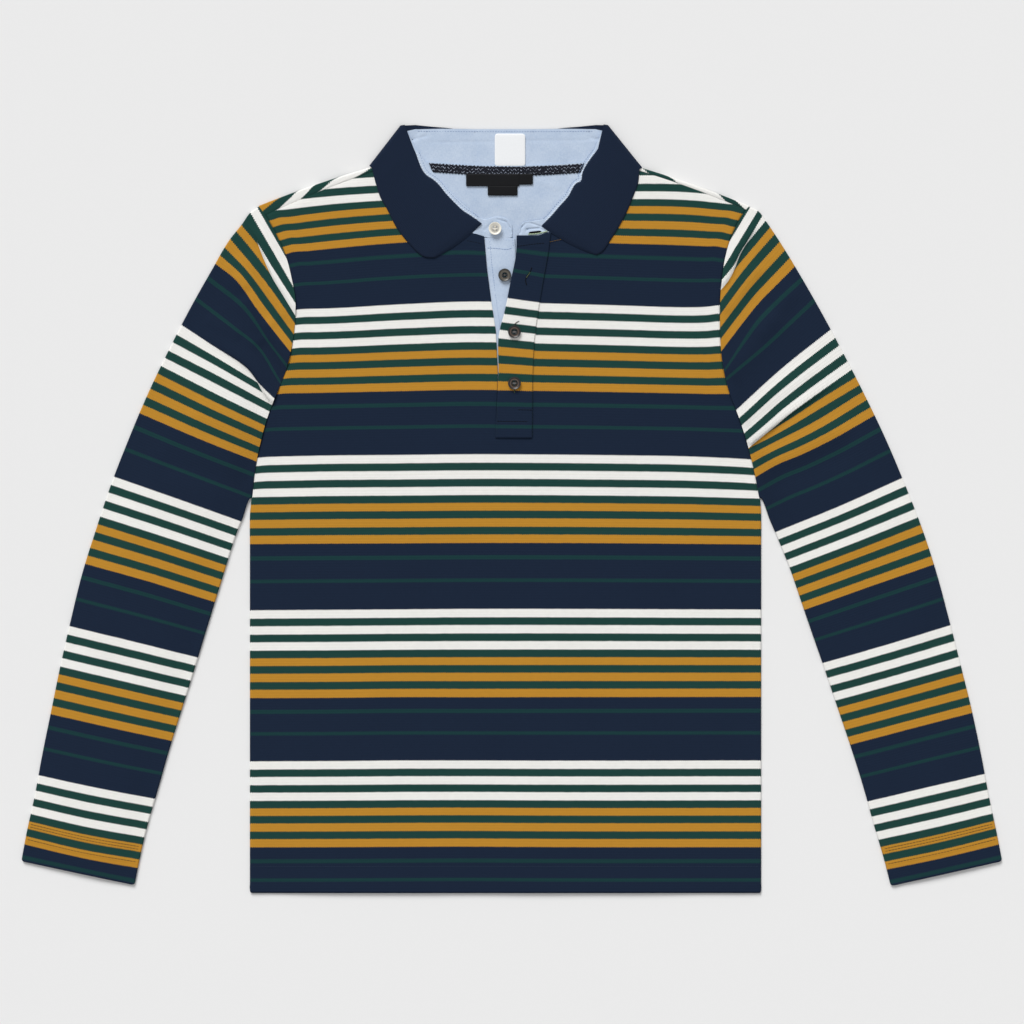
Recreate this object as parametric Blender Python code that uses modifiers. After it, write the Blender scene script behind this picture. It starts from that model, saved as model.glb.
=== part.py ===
"""Long-sleeve polo shirt laid flat on its back, collar folded down and top buttons open.

Every size is in millimetres in the garment's own frame: x across from the centre line, y up
from the hem, z up from the surface it lies on. The frame's origin ends at the middle of the
garment's box, on that surface, and the meshes are made in metres.
"""

import math

import bmesh
import bpy
from mathutils import Vector

# ---------------------------------------------------------------- driving dimensions (mm)
HALF_CHEST = 250.0          # centre line to side seam, garment laid flat
BOX_CENTRE_X = 6.1          # middle of the laid-out garment, from the centre line
BOX_CENTRE_Y = 375.4        # middle of the laid-out garment, from the hem
JERSEY = 1.1                # wall of the body and the sleeves
COLLAR_KNIT = 1.2           # wall of the collar
CHAMBRAY = 1.0              # wall of the stand, the facing and the under placket
TAPE = 0.7                  # wall of the neck tape and of the sewn labels
SEAM_GAP = 0.3              # between any two pieces that are sewn or lie on each other
FOLD_HEIGHT = 2.8           # a flattened sleeve at its folded edges

FRONT_LOFT = 2.6            # how far the front rises over the back along the middle
LOFT_PLATEAU = 125.0        # half width of the front that has its full loft
LOFT_END = 240.0            # where the loft has died away towards the side seams
HEM_LOFT_SHARE = 0.35       # share of the loft left at the hem
LOFT_START = 300.0          # height over the hem at which the loft is full

FALL_LIFT = 1.5             # the back rides over the back of the collar, which lies under it
LIFT_HALF_WIDTH = 136.0
LIFT_FULL_Y = 682.0
LIFT_SPREAD = 40.0

# Armhole seam, from the underarm to the top of the shoulder.
# height over the hem, distance from the centre line at the wearer's right and left
ARMHOLE = (
    (386.0, 248.4, 248.8),
    (410.0, 246.0, 244.2),
    (440.0, 240.0, 236.6),
    (470.0, 231.5, 226.8),
    (490.0, 223.4, 219.2),
    (515.0, 214.0, 213.2),
    (540.0, 208.4, 210.6),
    (560.0, 206.2, 210.2),
    (580.0, 205.8, 210.4),
    (600.0, 209.3, 212.0),
    (620.0, 214.2, 214.9),
    (645.0, 224.9, 222.4),
    (662.0, 234.5, 231.0),
    (672.0, 241.5, 238.2),
)

# Side seam below the underarm: height over the hem, distance from the centre line
SIDE_SEAM = (
    (0.0, HALF_CHEST - 2.6),
    (2.6, HALF_CHEST),
    (26.0, HALF_CHEST),
    (90.0, HALF_CHEST),
    (155.0, HALF_CHEST),
    (220.0, HALF_CHEST),
    (285.0, HALF_CHEST),
    (340.0, HALF_CHEST),
    (368.0, HALF_CHEST),
)

# Front edge of each half of the front panel: x, y on the wearer's right, then on the left.
# It runs up the centre, the slit and the neckline, one row for each row of the armhole.
SLIT_FOOT = (-9.0, 458.0)
FRONT_EDGE = (
    (-9.0, 392.0, -9.0, 392.0),
    (-9.0, 424.0, -9.0, 424.0),
    (SLIT_FOOT[0], SLIT_FOOT[1], SLIT_FOOT[0], SLIT_FOOT[1]),
    (-8.6, 507.0, -2.0, 507.0),
    (-9.3, 549.0, 0.5, 549.0),
    (-13.7, 578.0, 6.0, 578.0),
    (-18.1, 611.0, 12.0, 611.0),
    (-20.8, 641.0, 15.0, 641.5),
    (-38.0, 643.5, 38.7, 646.0),
    (-62.0, 650.6, 61.2, 652.6),
    (-83.7, 665.3, 82.7, 665.3),
    (-98.0, 686.0, 97.0, 686.0),
)
# Centre back and back neckline: x and y, one row for each row of the armhole
BACK_EDGE = (
    (0.0, 400.0),
    (0.0, 446.0),
    (0.0, 492.0),
    (0.0, 536.0),
    (0.0, 576.0),
    (0.0, 612.0),
    (0.0, 644.0),
    (0.0, 676.0),
    (0.0, 706.0),
    (24.0, 706.4),
    (50.0, 707.4),
    (76.0, 709.6),
    (96.0, 712.4),
    (109.5, 715.6),
)
NECK_POINT = (109.5, 715.6)  # where the shoulder meets the neck, on either side
SHOULDER_BULGE = 2.4        # the shoulder's outline bows out of its chord by this
# Way from the shoulder's outline towards the centre and the hem, at the armhole and at the neck
SHOULDER_INWARD = ((0.58, 0.815), (0.42, 0.91))
# Strip of the back that comes forward over the shoulder: width at the neck and at the armhole
STRIP_RIGHT = (3.2, 11.0)
STRIP_LEFT = (3.2, 4.6)
FRONT_COLUMNS = 11          # faces across each half of the front
BACK_COLUMNS = 8            # faces across each half of the back
FOLD_STEPS = 4              # faces round a folded edge
FACING_ROWS = (-15, -3)     # rows of the back's upper grid that the half-moon facing covers
FACING_SHARE = 0.4          # its reach from the centre towards the armhole

# Sleeve sections from the cuff to the shoulder: outer edge x, y and inner edge x, y,
# how far the section bends to follow the armhole, and the rise of the upper layer
SLEEVE_RIGHT = (
    (473.6, 31.2, 362.8, 7.7, 0.00, 0.5),
    (468.8, 57.0, 358.0, 32.0, 0.00, 1.0),
    (460.4, 95.8, 349.8, 67.4, 0.00, 1.5),
    (453.2, 134.9, 339.5, 102.6, 0.00, 1.6),
    (444.2, 179.0, 328.3, 141.8, 0.00, 1.3),
    (435.2, 223.0, 316.1, 180.9, 0.00, 1.7),
    (425.2, 267.0, 303.8, 220.1, 0.00, 1.9),
    (414.4, 311.1, 293.1, 255.3, 0.00, 1.5),
    (400.7, 355.1, 283.5, 286.6, 0.02, 1.8),
    (386.0, 399.1, 275.0, 314.0, 0.05, 2.0),
    (368.9, 443.2, 268.1, 336.5, 0.10, 1.8),
    (350.3, 487.2, 262.2, 354.1, 0.19, 1.7),
    (329.3, 531.2, 256.9, 366.8, 0.32, 1.6),
    (309.2, 570.4, 254.2, 375.6, 0.48, 1.4),
    (287.2, 609.5, 252.2, 381.5, 0.68, 1.0),
    (269.9, 638.9, 250.6, 385.0, 0.85, 0.6),
)
SLEEVE_LEFT = (
    (485.8, 31.2, 376.9, 6.8, 0.00, 0.5),
    (480.8, 57.0, 370.6, 31.6, 0.00, 1.0),
    (472.6, 95.8, 360.1, 67.4, 0.00, 1.4),
    (465.3, 134.9, 350.3, 102.6, 0.00, 1.6),
    (456.0, 179.0, 338.1, 141.8, 0.00, 1.4),
    (445.2, 223.0, 324.9, 180.9, 0.00, 1.6),
    (434.0, 267.0, 311.7, 220.1, 0.00, 1.9),
    (422.2, 311.1, 299.4, 255.3, 0.00, 1.6),
    (408.0, 355.1, 288.7, 286.6, 0.02, 1.7),
    (390.9, 399.1, 279.4, 314.0, 0.05, 2.0),
    (372.3, 443.2, 270.6, 336.5, 0.10, 1.9),
    (351.3, 487.2, 263.2, 354.1, 0.19, 1.8),
    (328.8, 531.2, 257.8, 366.8, 0.32, 1.6),
    (307.7, 570.4, 254.8, 375.6, 0.48, 1.3),
    (285.2, 609.5, 252.6, 381.5, 0.68, 1.0),
    (267.1, 638.9, 251.0, 385.0, 0.85, 0.6),
)
SLEEVE_TOP_GAP = (0.9, -0.8)   # from the armhole's top to the sleeve's, outwards and upwards
SLEEVE_FOOT_GAP = (0.4, 0.9)   # the same at the underarm
SLEEVE_HEAD_RISE = 0.2         # rise of the upper layer at the armhole
CROWN_MARGIN = 0.3             # share of the width over which the crown grows from each edge
FOLD_MARGIN = 0.1              # the same for the folds
FOLD_ENDS = (4.0, 0.8)         # how steeply a fold dies away at its ends, and how far beyond them
EDGE_TURNS = (0.25, 0.5, 0.75)  # places round the half turn of a folded edge
HEAD_SECTIONS = 8           # sections of the sleeve head that get one more between each two

# Largest folds of the sleeve heads: start x, y, end x, y, rise and half width of the ridge
FOLDS_RIGHT = (
    (-256.0, 656.0, -212.0, 572.0, 2.0, 12.0),
    (-264.0, 520.0, -232.0, 480.0, 2.0, 12.0),
)
FOLDS_LEFT = (
    (256.0, 658.0, 214.0, 592.0, 2.0, 12.0),
    (312.0, 470.0, 242.0, 440.0, 2.2, 12.0),
)

# Collar leaf from its front end to the side of the neck: roll line x, y and outer edge x, y
LEAF_RIGHT = (
    (-23.0, 654.6, -68.6, 621.0),
    (-32.8, 661.4, -79.2, 621.7),
    (-43.1, 668.4, -94.0, 634.5),
    (-55.8, 681.1, -105.7, 649.4),
    (-75.0, 701.3, -119.5, 674.8),
    (-89.7, 727.9, -126.9, 694.0),
)
LEAF_LEFT = (
    (35.9, 651.5, 85.3, 624.9),
    (42.6, 660.4, 93.8, 625.9),
    (50.3, 670.6, 101.3, 636.6),
    (61.0, 681.1, 111.8, 653.5),
    (73.7, 696.0, 118.2, 670.6),
    (91.7, 727.9, 126.7, 691.8),
)
# Fold at the side of the neck: roll line x, y and outer edge x, y, same on both sides
COLLAR_FOLD = (101.3, 750.8, 133.2, 711.4)
# Back of the collar, under the garment: roll line x, y and outer edge x, y, one side
COLLAR_BACK = (
    (88.0, 750.7, 114.0, 704.0),
    (72.0, 750.2, 84.0, 697.0),
    (54.0, 748.6, 56.0, 694.0),
    (36.0, 745.8, 36.0, 692.6),
    (20.0, 744.6, 20.0, 692.0),
)
LEAF_CLEARANCE = 0.4        # leaf over the front panel
COLLAR_COLUMNS = 5          # faces across the collar
STAND_COLUMNS = 3           # faces across the stand

# Stand under the leaf, from its front end to the side of the neck: top x, y, seam x, y
STAND_RIGHT = (
    (6.6, 653.0, 6.6, 645.6),
    (2.6, 658.6, 3.2, 642.8),
    (-8.0, 661.4, -8.0, 642.6),
    (-21.0, 659.0, -23.0, 642.9),
    (-36.0, 669.0, -44.0, 646.4),
    (-52.0, 684.0, -62.4, 652.0),
    (-71.0, 705.0, -83.0, 667.0),
    (-87.0, 727.0, -97.8, 689.0),
)
STAND_LEFT = (
    (14.6, 651.0, 14.6, 644.6),
    (19.0, 655.6, 18.6, 643.2),
    (29.0, 657.2, 29.0, 645.2),
    (38.0, 659.6, 42.0, 648.4),
    (51.0, 674.6, 60.4, 654.2),
    (68.0, 696.0, 82.0, 667.0),
    (87.0, 727.0, 97.0, 689.0),
)
STAND_FOLD = (98.4, 745.8, 108.6, 718.4)
STAND_BACK = (
    (88.0, 747.0, 97.0, 713.6),
    (62.0, 747.4, 74.0, 710.6),
    (24.0, 747.0, 24.0, 707.2),
)
STAND_LEVEL = 4.2           # underside of the stand's front ends

# Under placket and top placket: height, x of the left and of the right edge
PLACKET_UNDER = (
    (449.0, -15.0, 19.0),
    (505.0, -15.0, 20.0),
    (549.0, -16.0, 19.0),
    (578.0, -20.0, 15.5),
    (611.0, -24.5, 11.0),
    (640.4, -27.0, 9.0),
)
PLACKET_TOP = (
    (445.0, -10.0, 26.0),
    (470.0, -8.8, 26.2),
    (509.0, -6.9, 26.8),
    (549.0, -6.0, 29.6),
    (566.0, -1.5, 32.0),
    (598.0, 5.0, 37.0),
    (626.0, 10.4, 42.0),
    (641.6, 10.9, 44.6),
)
PLACKET_UNDER_LEVEL = 2.7
PLACKET_SIDE_COLUMNS = 3

# Neck tape: x and y along its middle line
TAPE_LINE = (
    (-70.4, 708.8),
    (-50.0, 707.8),
    (-20.0, 706.6),
    (10.0, 706.6),
    (45.0, 707.4),
    (66.5, 708.6),
)
TAPE_WIDTH = 7.2

# Blank labels: name, low x, low y, high x, high y, corner radius, wall, level of the underside
LABELS = (
    ("label_main", -38.4, 691.4, 26.4, 702.3, 0.4, TAPE, 4.2),
    ("label_size", -17.2, 682.2, 11.5, 691.0, 0.4, TAPE, 4.2),
    ("collar_label", -10.2, 711.6, 19.0, 743.0, 2.5, 0.5, 2.8),
)
LABEL_CORNER_TURNS = (0.0, 45.0, 90.0)

# Buttons: name, x, y, level of the underside, is it the pale one
BUTTONS = (
    ("button_collar", -10.3, 650.2, 5.5, True),
    ("button_1", -0.8, 604.2, 4.0, False),
    ("button_2", 8.7, 548.6, 6.8, False),
    ("button_3", 8.7, 498.4, 6.8, False),
)
BUTTON_DIAMETER = 12.7      # 20 line
BUTTON_HEIGHT = 2.6
BUTTON_RIM = 1.9            # width of the raised rim
BUTTON_DISH = 0.8           # depth of the dished middle
BUTTON_HOLE = 1.7
BUTTON_HOLE_SPREAD = 1.5    # hole centre from the button's axis, along x and along y
BUTTON_SIDES = 20
BUTTON_HOLE_SIDES = 8
BUTTON_DRILL_DEPTH = 3.0 * BUTTON_HEIGHT
# Where the rim's top starts and ends, as shares of the rim's width in from the edge
BUTTON_RIM_TOP = (0.75, 0.3)
# Places down the button's side: share of the radius, share of the height
BUTTON_SIDE_PLACES = ((1.0, 0.6), (0.96, 0.25), (0.78, 0.0))

MM = 0.001
MERGE_DISTANCE = 0.02       # points closer than this are one point
FABRIC_ROUGHNESS = 0.9

# colour and roughness of each material
COLOURS = {
    "striped_jersey": ((0.045, 0.09, 0.075), FABRIC_ROUGHNESS),
    "navy_knit": ((0.012, 0.018, 0.042), FABRIC_ROUGHNESS),
    "blue_chambray": ((0.42, 0.56, 0.78), FABRIC_ROUGHNESS),
    "herringbone_tape": ((0.02, 0.025, 0.04), 0.85),
    "label_black": ((0.012, 0.012, 0.014), 0.8),
    "label_white": ((0.86, 0.86, 0.85), 0.6),
    "button_dark": ((0.03, 0.028, 0.028), 0.35),
    "button_white": ((0.8, 0.78, 0.72), 0.3),
}


# ---------------------------------------------------------------- heights of the layers
def smooth(value):
    """0 below 0, 1 above 1 and an S-shaped way between them."""
    value = min(1.0, max(0.0, value))
    return value * value * (3.0 - 2.0 * value)


def inside(share, margin):
    """0 at both ends of a width, 1 from a margin in, and an S-shaped way between them."""
    return smooth(share / margin) * smooth((1.0 - share) / margin)


def back_lift(x, y):
    """Rise of the back panel over the back of the collar."""
    beside = max(0.0, abs(x) - LIFT_HALF_WIDTH)
    below = max(0.0, LIFT_FULL_Y - y)
    return FALL_LIFT * (1.0 - smooth(math.hypot(beside, below) / LIFT_SPREAD))


def front_loft(x, y):
    """Rise of the front panel over the back panel, beyond the seam gap."""
    across = 1.0 - smooth((abs(x) - LOFT_PLATEAU) / (LOFT_END - LOFT_PLATEAU))
    along = HEM_LOFT_SHARE + (1.0 - HEM_LOFT_SHARE) * smooth(y / LOFT_START)
    return FRONT_LOFT * across * along


def front_top(x, y):
    """Height of the front panel's upper face."""
    return JERSEY + SEAM_GAP + max(back_lift(x, y), front_loft(x, y)) + JERSEY


def fold_rise(x, y, folds):
    """Height that the folds add at a point: a soft ridge that dies away at both ends."""
    total = 0.0
    for start_x, start_y, end_x, end_y, rise, half_width in folds:
        start = Vector((start_x, start_y))
        run = Vector((end_x, end_y)) - start
        offset = Vector((x, y)) - start
        share = offset.dot(run) / run.length_squared
        across = abs(run.x * offset.y - run.y * offset.x) / run.length
        steep, beyond = FOLD_ENDS
        ends = smooth(steep * share + beyond) * smooth(steep * (1.0 - share) + beyond)
        total += rise * ends * math.exp(-((across / half_width) ** 2))
    return total


# ---------------------------------------------------------------- mesh helpers
def clear_scene():
    """Remove every object that the new file holds."""
    for item in list(bpy.data.objects):
        bpy.data.objects.remove(item, do_unlink=True)


def new_collection(name):
    """Make a collection in the scene."""
    group = bpy.data.collections.new(name)
    bpy.context.scene.collection.children.link(group)
    return group


def make_material(name):
    """Make a Principled material in one of the garment's colours."""
    colour, roughness = COLOURS[name]
    material = bpy.data.materials.new(name)
    material.use_nodes = True
    shader = material.node_tree.nodes["Principled BSDF"]
    shader.inputs["Base Color"].default_value = (*colour, 1.0)
    shader.inputs["Roughness"].default_value = roughness
    shader.inputs["Metallic"].default_value = 0.0
    return material


def placed(point):
    """A garment point in millimetres as a point of the model in metres."""
    return Vector((point[0] - BOX_CENTRE_X, point[1] - BOX_CENTRE_Y, point[2])) * MM


def add_grid(mesh, rows, closed=False, flip=False):
    """Add the faces between rows of points, each row as long as the next."""
    vertices = [[mesh.verts.new(placed(point)) for point in row] for row in rows]
    for lower, upper in zip(vertices, vertices[1:]):
        count = len(lower)
        for column in range(count if closed else count - 1):
            after = (column + 1) % count
            corners = [lower[column], lower[after], upper[after], upper[column]]
            if flip:
                corners.reverse()
            mesh.faces.new(corners)


def cloth_object(name, grids, wall, material, group):
    """Make a cloth wall from grids of outer points; the wall grows inwards from them."""
    mesh = bmesh.new()
    for rows, closed, flip in grids:
        add_grid(mesh, rows, closed, flip)
    bmesh.ops.remove_doubles(mesh, verts=mesh.verts, dist=MERGE_DISTANCE * MM)
    data = bpy.data.meshes.new(name)
    mesh.to_mesh(data)
    mesh.free()
    data.materials.append(material)
    item = bpy.data.objects.new(name, data)
    group.objects.link(item)
    shell = item.modifiers.new("wall", "SOLIDIFY")
    shell.thickness = wall * MM
    shell.offset = -1.0
    shell.use_even_offset = True
    return item


def between(start, end, share):
    """Point on the straight line between two tuples of numbers."""
    return tuple(a + (b - a) * share for a, b in zip(start, end))


# ---------------------------------------------------------------- body panels
def armhole_point(row, side):
    """Armhole point of a table row: side is -1 on the wearer's right and 1 on the left."""
    height, right_x, left_x = ARMHOLE[row]
    return (-right_x if side < 0 else left_x, height)


def side_rows(side, inner_x):
    """Rows from the side seam to the centre line, below the underarm."""
    return [((side * x, height), (inner_x, height)) for height, x in SIDE_SEAM]


def shoulder_point(side, share, inset):
    """Point in from the shoulder's outline, which bows out between armhole and neck."""
    x, y = between(armhole_point(-1, side), (side * NECK_POINT[0], NECK_POINT[1]), share)
    y += SHOULDER_BULGE * 4.0 * share * (1.0 - share)
    way = between(*SHOULDER_INWARD, share)
    return x - side * way[0] * inset, y - way[1] * inset


def forward_seam(side, share):
    """Inset and height of the seam that joins the back's strip to the front."""
    at_neck, at_armhole = STRIP_RIGHT if side < 0 else STRIP_LEFT
    inset = at_armhole + (at_neck - at_armhole) * share
    x, y = shoulder_point(side, share, inset)
    return inset, front_top(x, y)


def grid_between(pairs, columns, height):
    """Rows of points from each outer point to its inner point, lifted by height(x, y)."""
    rows = []
    for outer, inner in pairs:
        row = []
        for column in range(columns + 1):
            x, y = between(outer, inner, column / columns)
            row.append((x, y, height(x, y)))
        rows.append(row)
    return rows


def build_front(material, group):
    """The front panel: two halves that are one below the slit, with the neck cut out."""
    grids = []
    for side in (-1, 1):
        pairs = side_rows(side, SLIT_FOOT[0])
        for row, edge in enumerate(FRONT_EDGE):
            inner = edge[:2] if side < 0 else edge[2:]
            pairs.append((armhole_point(row, side), inner))
        rows = grid_between(pairs, FRONT_COLUMNS, front_top)
        top_row = []
        for column in range(FRONT_COLUMNS + 1):
            share = column / FRONT_COLUMNS
            x, y = shoulder_point(side, share, forward_seam(side, share)[0] + SEAM_GAP)
            top_row.append((x, y, front_top(x, y)))
        grids.append((rows + [top_row], False, side > 0))
    return cloth_object("front", grids, JERSEY, material, group)


def back_pairs(side):
    """Outer and inner points of the back panel's rows below the shoulder's fold."""
    upper = [(*armhole_point(row, side), side * x, y) for row, (x, y) in enumerate(BACK_EDGE)]
    finer = [upper[0]]
    for lower, higher in zip(upper, upper[1:]):
        finer += [between(lower, higher, 0.5), higher]
    return side_rows(side, 0.0) + [(row[:2], row[2:]) for row in finer[:-1]]


def shoulder_wrap(side, columns):
    """Rows that carry the back round the shoulder's fold, forward to its seam with the front."""
    rows = [[] for _ in range(FOLD_STEPS + 2)]
    for column in range(columns + 1):
        share = column / columns
        seam_inset, top = forward_seam(side, share)
        low = back_lift(*shoulder_point(side, share, 0.0))
        radius = 0.5 * (top - low)
        for step in range(FOLD_STEPS + 1):
            angle = math.pi * step / FOLD_STEPS
            x, y = shoulder_point(side, share, radius * (1.0 - math.sin(angle)))
            rows[step].append((x, y, low + radius * (1.0 - math.cos(angle))))
        rows[-1].append((*shoulder_point(side, share, seam_inset), top))
    return rows


def build_back(material, group):
    """The back panel, with the strip that comes forward over each shoulder."""
    grids = []
    for side in (-1, 1):
        rows = grid_between(back_pairs(side), BACK_COLUMNS, back_lift)
        rows += shoulder_wrap(side, BACK_COLUMNS)
        grids.append((rows, False, side < 0))
    return cloth_object("back", grids, JERSEY, material, group)


def build_facing(material, group):
    """The half-moon facing inside the back of the neck, made from the back's own points."""
    reach = int(BACK_COLUMNS * FACING_SHARE)
    lift = JERSEY + SEAM_GAP + CHAMBRAY
    grids = []
    for side in (-1, 1):
        rows = grid_between(back_pairs(side), BACK_COLUMNS, back_lift)
        rows = [row[BACK_COLUMNS - reach:] for row in rows[slice(*FACING_ROWS)]]
        grids.append(([[(x, y, z + lift) for x, y, z in row] for row in rows], False, side > 0))
    return cloth_object("yoke_facing", grids, CHAMBRAY, material, group)


# ---------------------------------------------------------------- sleeves
def armhole_curve(side, share):
    """Point of the armhole, from the shoulder at 0 to the underarm at 1."""
    height = ARMHOLE[-1][0] + (ARMHOLE[0][0] - ARMHOLE[-1][0]) * share
    row = 0
    while row < len(ARMHOLE) - 2 and ARMHOLE[row + 1][0] < height:
        row += 1
    part = (height - ARMHOLE[row][0]) / (ARMHOLE[row + 1][0] - ARMHOLE[row][0])
    return between(armhole_point(row, side), armhole_point(row + 1, side), part)


def sleeve_shares():
    """Places across a sleeve section that face the rows of the armhole."""
    top, bottom = ARMHOLE[-1][0], ARMHOLE[0][0]
    return [(top - row[0]) / (top - bottom) for row in reversed(ARMHOLE)]


def sleeve_ring(section, side, shares, folds):
    """Closed ring of outer points: the upper layer, the inner fold, the lower layer, the outer."""
    outer_x, outer_y, inner_x, inner_y, bend, rise = section
    outer, inner = Vector((side * outer_x, outer_y)), Vector((side * inner_x, inner_y))
    chord_top, chord_foot = Vector(armhole_curve(side, 0.0)), Vector(armhole_curve(side, 1.0))
    width = (inner - outer).length
    radius = FOLD_HEIGHT / 2.0

    def plan(share):
        bow = Vector(armhole_curve(side, share)) - chord_top.lerp(chord_foot, share)
        return outer.lerp(inner, share) + bow * bend

    inset = radius / width
    upper, lower = [], []
    for share in shares:
        kept = inset + share * (1.0 - 2.0 * inset)
        point = plan(kept)
        crown = rise * inside(share, CROWN_MARGIN)
        crown += fold_rise(point.x, point.y, folds) * inside(share, FOLD_MARGIN)
        upper.append((point.x, point.y, FOLD_HEIGHT + crown))
        lower.append((point.x, point.y, 0.0))

    def edge(share, direction):
        ends = []
        for turn in EDGE_TURNS:
            angle = turn * math.pi
            point = plan(share + direction * inset * (math.sin(angle) - 1.0))
            ends.append((point.x, point.y, radius * (1.0 + math.cos(angle))))
        return ends

    inner_fold = edge(1.0, 1.0)
    outer_fold = edge(0.0, -1.0)
    outer_fold.reverse()
    lower.reverse()
    return upper + inner_fold + lower + outer_fold


def build_sleeve(name, side, table, folds, material, group):
    """A sleeve: a flattened tube, open at the cuff and at the armhole."""
    top, foot = armhole_curve(side, 0.0), armhole_curve(side, 1.0)
    last = (abs(top[0]) + SLEEVE_TOP_GAP[0], top[1] + SLEEVE_TOP_GAP[1],
            abs(foot[0]) + SLEEVE_FOOT_GAP[0], foot[1] + SLEEVE_FOOT_GAP[1], 1.0, SLEEVE_HEAD_RISE)
    sections = list(table[:-HEAD_SECTIONS])
    head = list(table[-HEAD_SECTIONS:]) + [last]
    for lower, upper in zip(head, head[1:]):
        sections += [lower, between(lower, upper, 0.5)]
    sections.append(last)
    shares = sleeve_shares()
    rings = [sleeve_ring(section, side, shares, folds) for section in sections]
    return cloth_object(name, [(rings, True, side > 0)], JERSEY, material, group)


# ---------------------------------------------------------------- collar and stand
def side_fold(side, fold, low, top):
    """Stations round the fold of a band at the side of the neck, from its top to its foot."""
    roll, edge = Vector((side * fold[0], fold[1])), Vector((side * fold[2], fold[3]))
    inward = Vector((-side * abs(edge.y - roll.y), -side * (edge.x - roll.x))).normalized()
    radius = 0.5 * (top - low)
    stations = []
    for step in range(FOLD_STEPS + 1):
        angle = math.pi * step / FOLD_STEPS
        shift = inward * radius * (1.0 - math.sin(angle))
        level = low + radius * (1.0 + math.cos(angle))
        stations.append([(*(roll + shift), level), (*(edge + shift), level)])
    return stations


def wrap_stations(right, left, fold, back, top, low):
    """Stations of a band that goes from the front, under the back and to the front again."""
    def mirrored(row):
        return [(row[0], row[1], low), (row[2], row[3], low)]

    fold_top = top(-fold[2], fold[3])
    stations = [[(a, b, top(a, b)), (c, d, top(c, d))] for a, b, c, d in right]
    stations += side_fold(-1, fold, low, fold_top)
    stations += [[(-x, y, z) for x, y, z in mirrored(row)] for row in back]
    stations += [mirrored(row) for row in reversed(back)]
    stations += reversed(side_fold(1, fold, low, fold_top))
    stations += [[(a, b, top(a, b)), (c, d, top(c, d))] for a, b, c, d in reversed(left)]
    return stations


def build_collar(material, group):
    """The knitted collar: two leaves in front and its back, turned under the garment."""
    def leaf_top(x, y):
        return front_top(x, y) + LEAF_CLEARANCE + COLLAR_KNIT

    stations = wrap_stations(LEAF_RIGHT, LEAF_LEFT, COLLAR_FOLD, COLLAR_BACK, leaf_top, 0.0)
    leaves = len(LEAF_RIGHT), len(stations) - len(LEAF_LEFT)
    rows = []
    for index, (roll, edge) in enumerate(stations):
        row = [between(roll, edge, column / COLLAR_COLUMNS) for column in range(COLLAR_COLUMNS + 1)]
        if index < leaves[0] or index >= leaves[1]:
            row = [(x, y, leaf_top(x, y)) for x, y, _ in row]
        rows.append(row)
    return cloth_object("collar", [(rows, False, True)], COLLAR_KNIT, material, group)


def build_stand(material, group):
    """The chambray stand: its back shows inside the neck, its ends meet at the placket."""
    def stand_top(_x, _y):
        return STAND_LEVEL + CHAMBRAY

    stations = wrap_stations(STAND_RIGHT, STAND_LEFT, STAND_FOLD, STAND_BACK, stand_top, FALL_LIFT)
    rows = [[between(roll, seam, column / STAND_COLUMNS) for column in range(STAND_COLUMNS + 1)]
            for roll, seam in stations]
    return cloth_object("collar_stand", [(rows, False, True)], CHAMBRAY, material, group)


# ---------------------------------------------------------------- placket, tape and labels
def strip_rows(table, columns, height):
    """Rows of points across a strip whose table gives the height and the two edges."""
    rows = []
    for y, low_x, high_x in table:
        xs = [low_x + (high_x - low_x) * column / columns for column in range(columns + 1)]
        rows.append([(x, y, height(x, y)) for x in xs])
    return rows


def build_plackets(jersey, chambray, group):
    """The two bands of the front opening: the top one laps over the one with the buttons."""
    def under_top(_x, _y):
        return PLACKET_UNDER_LEVEL + CHAMBRAY

    def over_top(x, y):
        return front_top(x, y) + SEAM_GAP + JERSEY

    under = strip_rows(PLACKET_UNDER, PLACKET_SIDE_COLUMNS, under_top)
    over = strip_rows(PLACKET_TOP, PLACKET_SIDE_COLUMNS, over_top)
    cloth_object("placket_under", [(under, False, False)], CHAMBRAY, chambray, group)
    cloth_object("placket_top", [(over, False, False)], JERSEY, jersey, group)


def build_tape(material, group):
    """The tape over the neck seam, across the back of the neck."""
    level = FALL_LIFT + JERSEY + SEAM_GAP + CHAMBRAY + SEAM_GAP + TAPE
    half = 0.5 * TAPE_WIDTH
    rows = [[(x, y + half, level) for x, y in TAPE_LINE], [(x, y - half, level) for x, y in TAPE_LINE]]
    return cloth_object("neck_tape", [(rows, False, True)], TAPE, material, group)


def build_label(row, material, group):
    """A blank label: a flat outline with rounded corners, made as thick as its cloth."""
    name, low_x, low_y, high_x, high_y, radius, wall, level = row
    curve = bpy.data.curves.new(name, "CURVE")
    curve.dimensions = "2D"
    curve.fill_mode = "BOTH"
    curve.extrude = 0.5 * wall * MM
    corners = ((high_x, high_y, 0.0), (low_x, high_y, 90.0), (low_x, low_y, 180.0), (high_x, low_y, 270.0))
    centre_x, centre_y = 0.5 * (low_x + high_x), 0.5 * (low_y + high_y)
    points = []
    for x, y, start in corners:
        inner_x = x - math.copysign(radius, x - centre_x)
        inner_y = y - math.copysign(radius, y - centre_y)
        for turn in LABEL_CORNER_TURNS:
            angle = math.radians(start + turn)
            points.append((inner_x + radius * math.cos(angle), inner_y + radius * math.sin(angle)))
    spline = curve.splines.new("POLY")
    spline.points.add(len(points) - 1)
    for point, (x, y) in zip(spline.points, points):
        point.co = ((x - centre_x) * MM, (y - centre_y) * MM, 0.0, 1.0)
    spline.use_cyclic_u = True
    curve.materials.append(material)
    item = bpy.data.objects.new(name, curve)
    item.location = placed((centre_x, centre_y, level + 0.5 * wall))
    group.objects.link(item)
    return item


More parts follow.
